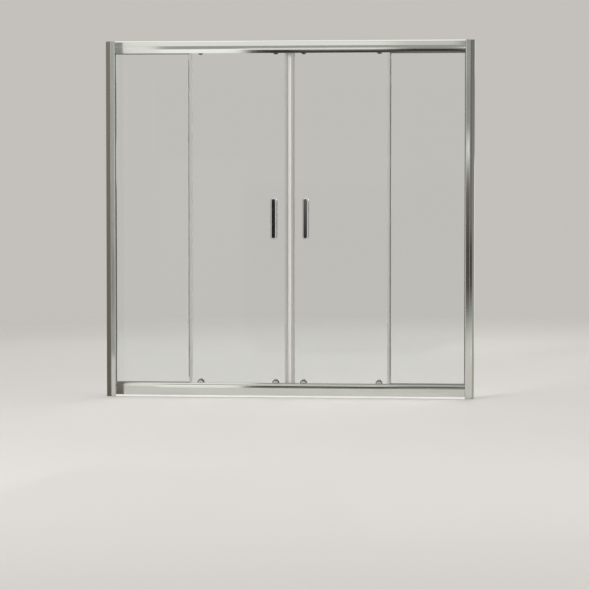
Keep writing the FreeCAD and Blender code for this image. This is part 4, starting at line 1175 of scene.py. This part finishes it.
for side, word in sides:
    low, high = cad("bottom_roller_housings_right")
    steps = [(cover_inset + inset, low.y + depth) for inset, depth in cover_edge]
    steps += [(housing_edge * (1 - sine), low.y + housing_lip + housing_edge * (1 - cosine))
              for cosine, sine in quarter(housing_steps)]
    steps.append((0, door_low.y))
    bore = [(0, high.z + button_bore[0]), (button_radius + button_play, high.z + button_bore[0]),
            (button_radius + button_play, high.z + button_bore[1]), (0, high.z + button_bore[1])]
    shells, hollows = bmesh.new(), bmesh.new()
    for across in roller_places:
        left, right = across - cavity_half, across + cavity_half
        stack(shells, [[(x, depth, z) for x, z in arch(across, low.z, high.z, inset)]
                       for inset, depth in steps])
        cavity = frame_of((left, low.z + cavity_foot), (right, high.z - cavity_roof), cavity_corner)
        sweep(hollows, "Y", low.y + front_skin, door_low.y - rear_skin, cavity)
        slot = frame_of((left, wheel_slot[0]), (right, wheel_slot[1]), wheel_slot_corner)
        sweep(hollows, "Z", low.z + wheel_slot_past[0], low.z + wheel_slot_past[1], slot)
        turn(hollows, "Z", (across, door_low.y - button_front, 0), bore, button_sides)
    housing = piece(f"roller_housings_{word}", shells, side, sharp=housing_smooth_angle)
    cut(housing, hollows, side)
    node = f"bottom_roller_housings_{word}"
    fit(housing, f"door_{word}", node, "handle_chrome", dark_nylon, mirror_chrome)
    cover_half = housing_half - cover_inset
    for polygon in housing.data.polygons:
        at = polygon.center * 1000
        from_middle = min(abs(abs(at.x) - across) for across in roller_places)
        covered = at.y < low.y + cover_groove and from_middle < cover_half and at.z < high.z - cover_inset
        polygon.material_index = 1 if covered else 0
    for place_word, across in zip(("inner", "outer"), roller_places):
        carrier = f"bottom_carrier_{place_word}_{word}"
        dress(carrier, mirror_chrome)
        low, high = cad(f"bottom_spring_{place_word}_right")
        mesh = bmesh.new()
        stack(mesh, coil(across, (low.y + high.y) / 2, low.z, high.z))
        spring = piece(f"coil_spring_{place_word}_{word}", mesh, side)
        fit(spring, f"door_{word}", f"bottom_spring_{place_word}_{word}", "stainless_steel", screw_steel)
        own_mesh(spring)


# The pull handles: a flat bar with round ends and rolled edges on two legs, cast in zinc and chrome
# plated, the same in front and behind. Two studs draw them together over clear washers.

bar_half = 12.5
bar_thick = 8
bar_rim = 5.5
bar_rim_depth = 4.2
bar_crown = 0.02
bar_face = (5.8, 7.5, 9.5, 11.3, 12.1)
bar_back_round = 7
bar_back_depth = 3.6
bar_steps = 10
bar_end_steps = 24
bar_smooth_angle = 40
# a leg's flared top and its foot, and half of a washer's section: radius and distance from the end
leg_top = ((0, 0), (7.2, 0), (6.4, 0.6), (6, 1.8))
leg_foot = ((6, 0.5), (5.6, 0), (0, 0))
washer = ((2.6, 0), (7.7, 0), (8, 0.3), (8, 0.7), (7.7, 1), (2.6, 1))
washer_thick = 1


def stadium(across, low, high, depth, inset):
    """A ring of points round a bar with round ends, drawn in by an inset."""
    radius = bar_half - inset
    ring = []
    for centre, start in ((high - bar_half, 0), (low + bar_half, math.pi)):
        for step in range(bar_end_steps + 1):
            angle = start + math.pi * step / bar_end_steps
            ring.append((across + radius * math.cos(angle), depth, centre + radius * math.sin(angle)))
    return ring


for side, word in sides:
    washers = bmesh.new()
    for node, outward, glass_face in (("handle_front", -1, door_low.y), ("handle_rear", 1, door_high.y)):
        low, high = cad(f"{node}_right")
        across = (low.x + high.x) / 2
        face = low.y if outward < 0 else high.y
        back = face - bar_thick * outward
        foot = glass_face + washer_thick * outward
        steps = [(back + outward * bar_back_depth * (1 - cosine), bar_back_round * (1 - sine))
                 for cosine, sine in quarter(bar_steps)[:-1]]
        steps += [(face - outward * (bar_crown + bar_rim_depth * (1 - sine)), bar_rim * (1 - cosine))
                  for cosine, sine in quarter(bar_steps)]
        for inset in bar_face:
            share = (bar_half - inset) / (bar_half - bar_rim)
            steps.append((face - outward * bar_crown * share ** 2, inset))
        mesh = bmesh.new()
        stack(mesh, [stadium(across, low.z, high.z, depth, inset) for depth, inset in steps])
        leg = [(radius, back - outward * down) for radius, down in leg_top]
        leg += [(radius, foot + outward * up) for radius, up in leg_foot]
        for height in leg_heights:
            turn(mesh, "Y", (across, 0, height), leg)
        handle = piece(f"{node}_{word}_bar", mesh, side, sharp=bar_smooth_angle)
        fit(handle, f"door_{word}", f"{node}_{word}", "handle_chrome", mirror_chrome)
    for height in leg_heights:
        for outward, glass_face in ((-1, door_low.y), (1, door_high.y)):
            outline = [(radius, glass_face + up * outward) for radius, up in washer]
            turn(washers, "Y", (handle_place, 0, height), outline, closed=True)
    clear_washers = piece(f"handle_washers_{word}_clear", washers, side)
    fit(clear_washers, f"door_{word}", f"handle_washers_{word}", "clear_pvc", seal_pvc)
    dress(f"handle_studs_{word}", screw_steel)


# The door stops: four blocks of grey rubber, moulded, on the inner faces of the posts. Each has soft
# edges and a dimple in its striking face, and a matt skin with a slight bloom.

stop_tall = 20
stop_deep = 11.7
stop_corner = 2
stop_edge = 0.8
# radius and depth of the dimple
dimple = ((0, -1), (3, -1), (2.2, 0.8), (0, 0.8))
dimple_sides = 32

# a grain of 0.7 mm that keeps the skin matt, and the bloom in patches some 9 mm wide
stop_rubber = grained("moulded_grey_rubber", ("#4b4b4c", "#3b3b3c"), (0.6, 0.85), (0.7, 4),
                      cloud=(9, 2), relief=(0.3, 0.1))

low, high = cad("door_stops")
mesh, dimples = bmesh.new(), bmesh.new()
for side, word in sides:
    near, far = side * (high.x - stop_deep), side * high.x
    for foot in (low.z, high.z - stop_tall):
        block = frame_of((low.y, foot), (high.y, foot + stop_tall), stop_corner)
        sweep(mesh, "X", *sorted((near, far)), block)
        centre = (near, (low.y + high.y) / 2, foot + stop_tall / 2)
        outline = [(radius, depth * side) for radius, depth in dimple]
        turn(dimples, "X", centre, outline, dimple_sides)
stops = piece("door_stop_blocks", mesh)
cut(stops, dimples)
ease(stops, stop_edge, segments=3)
fit(stops, "frame", "door_stops", "grey_rubber", stop_rubber)
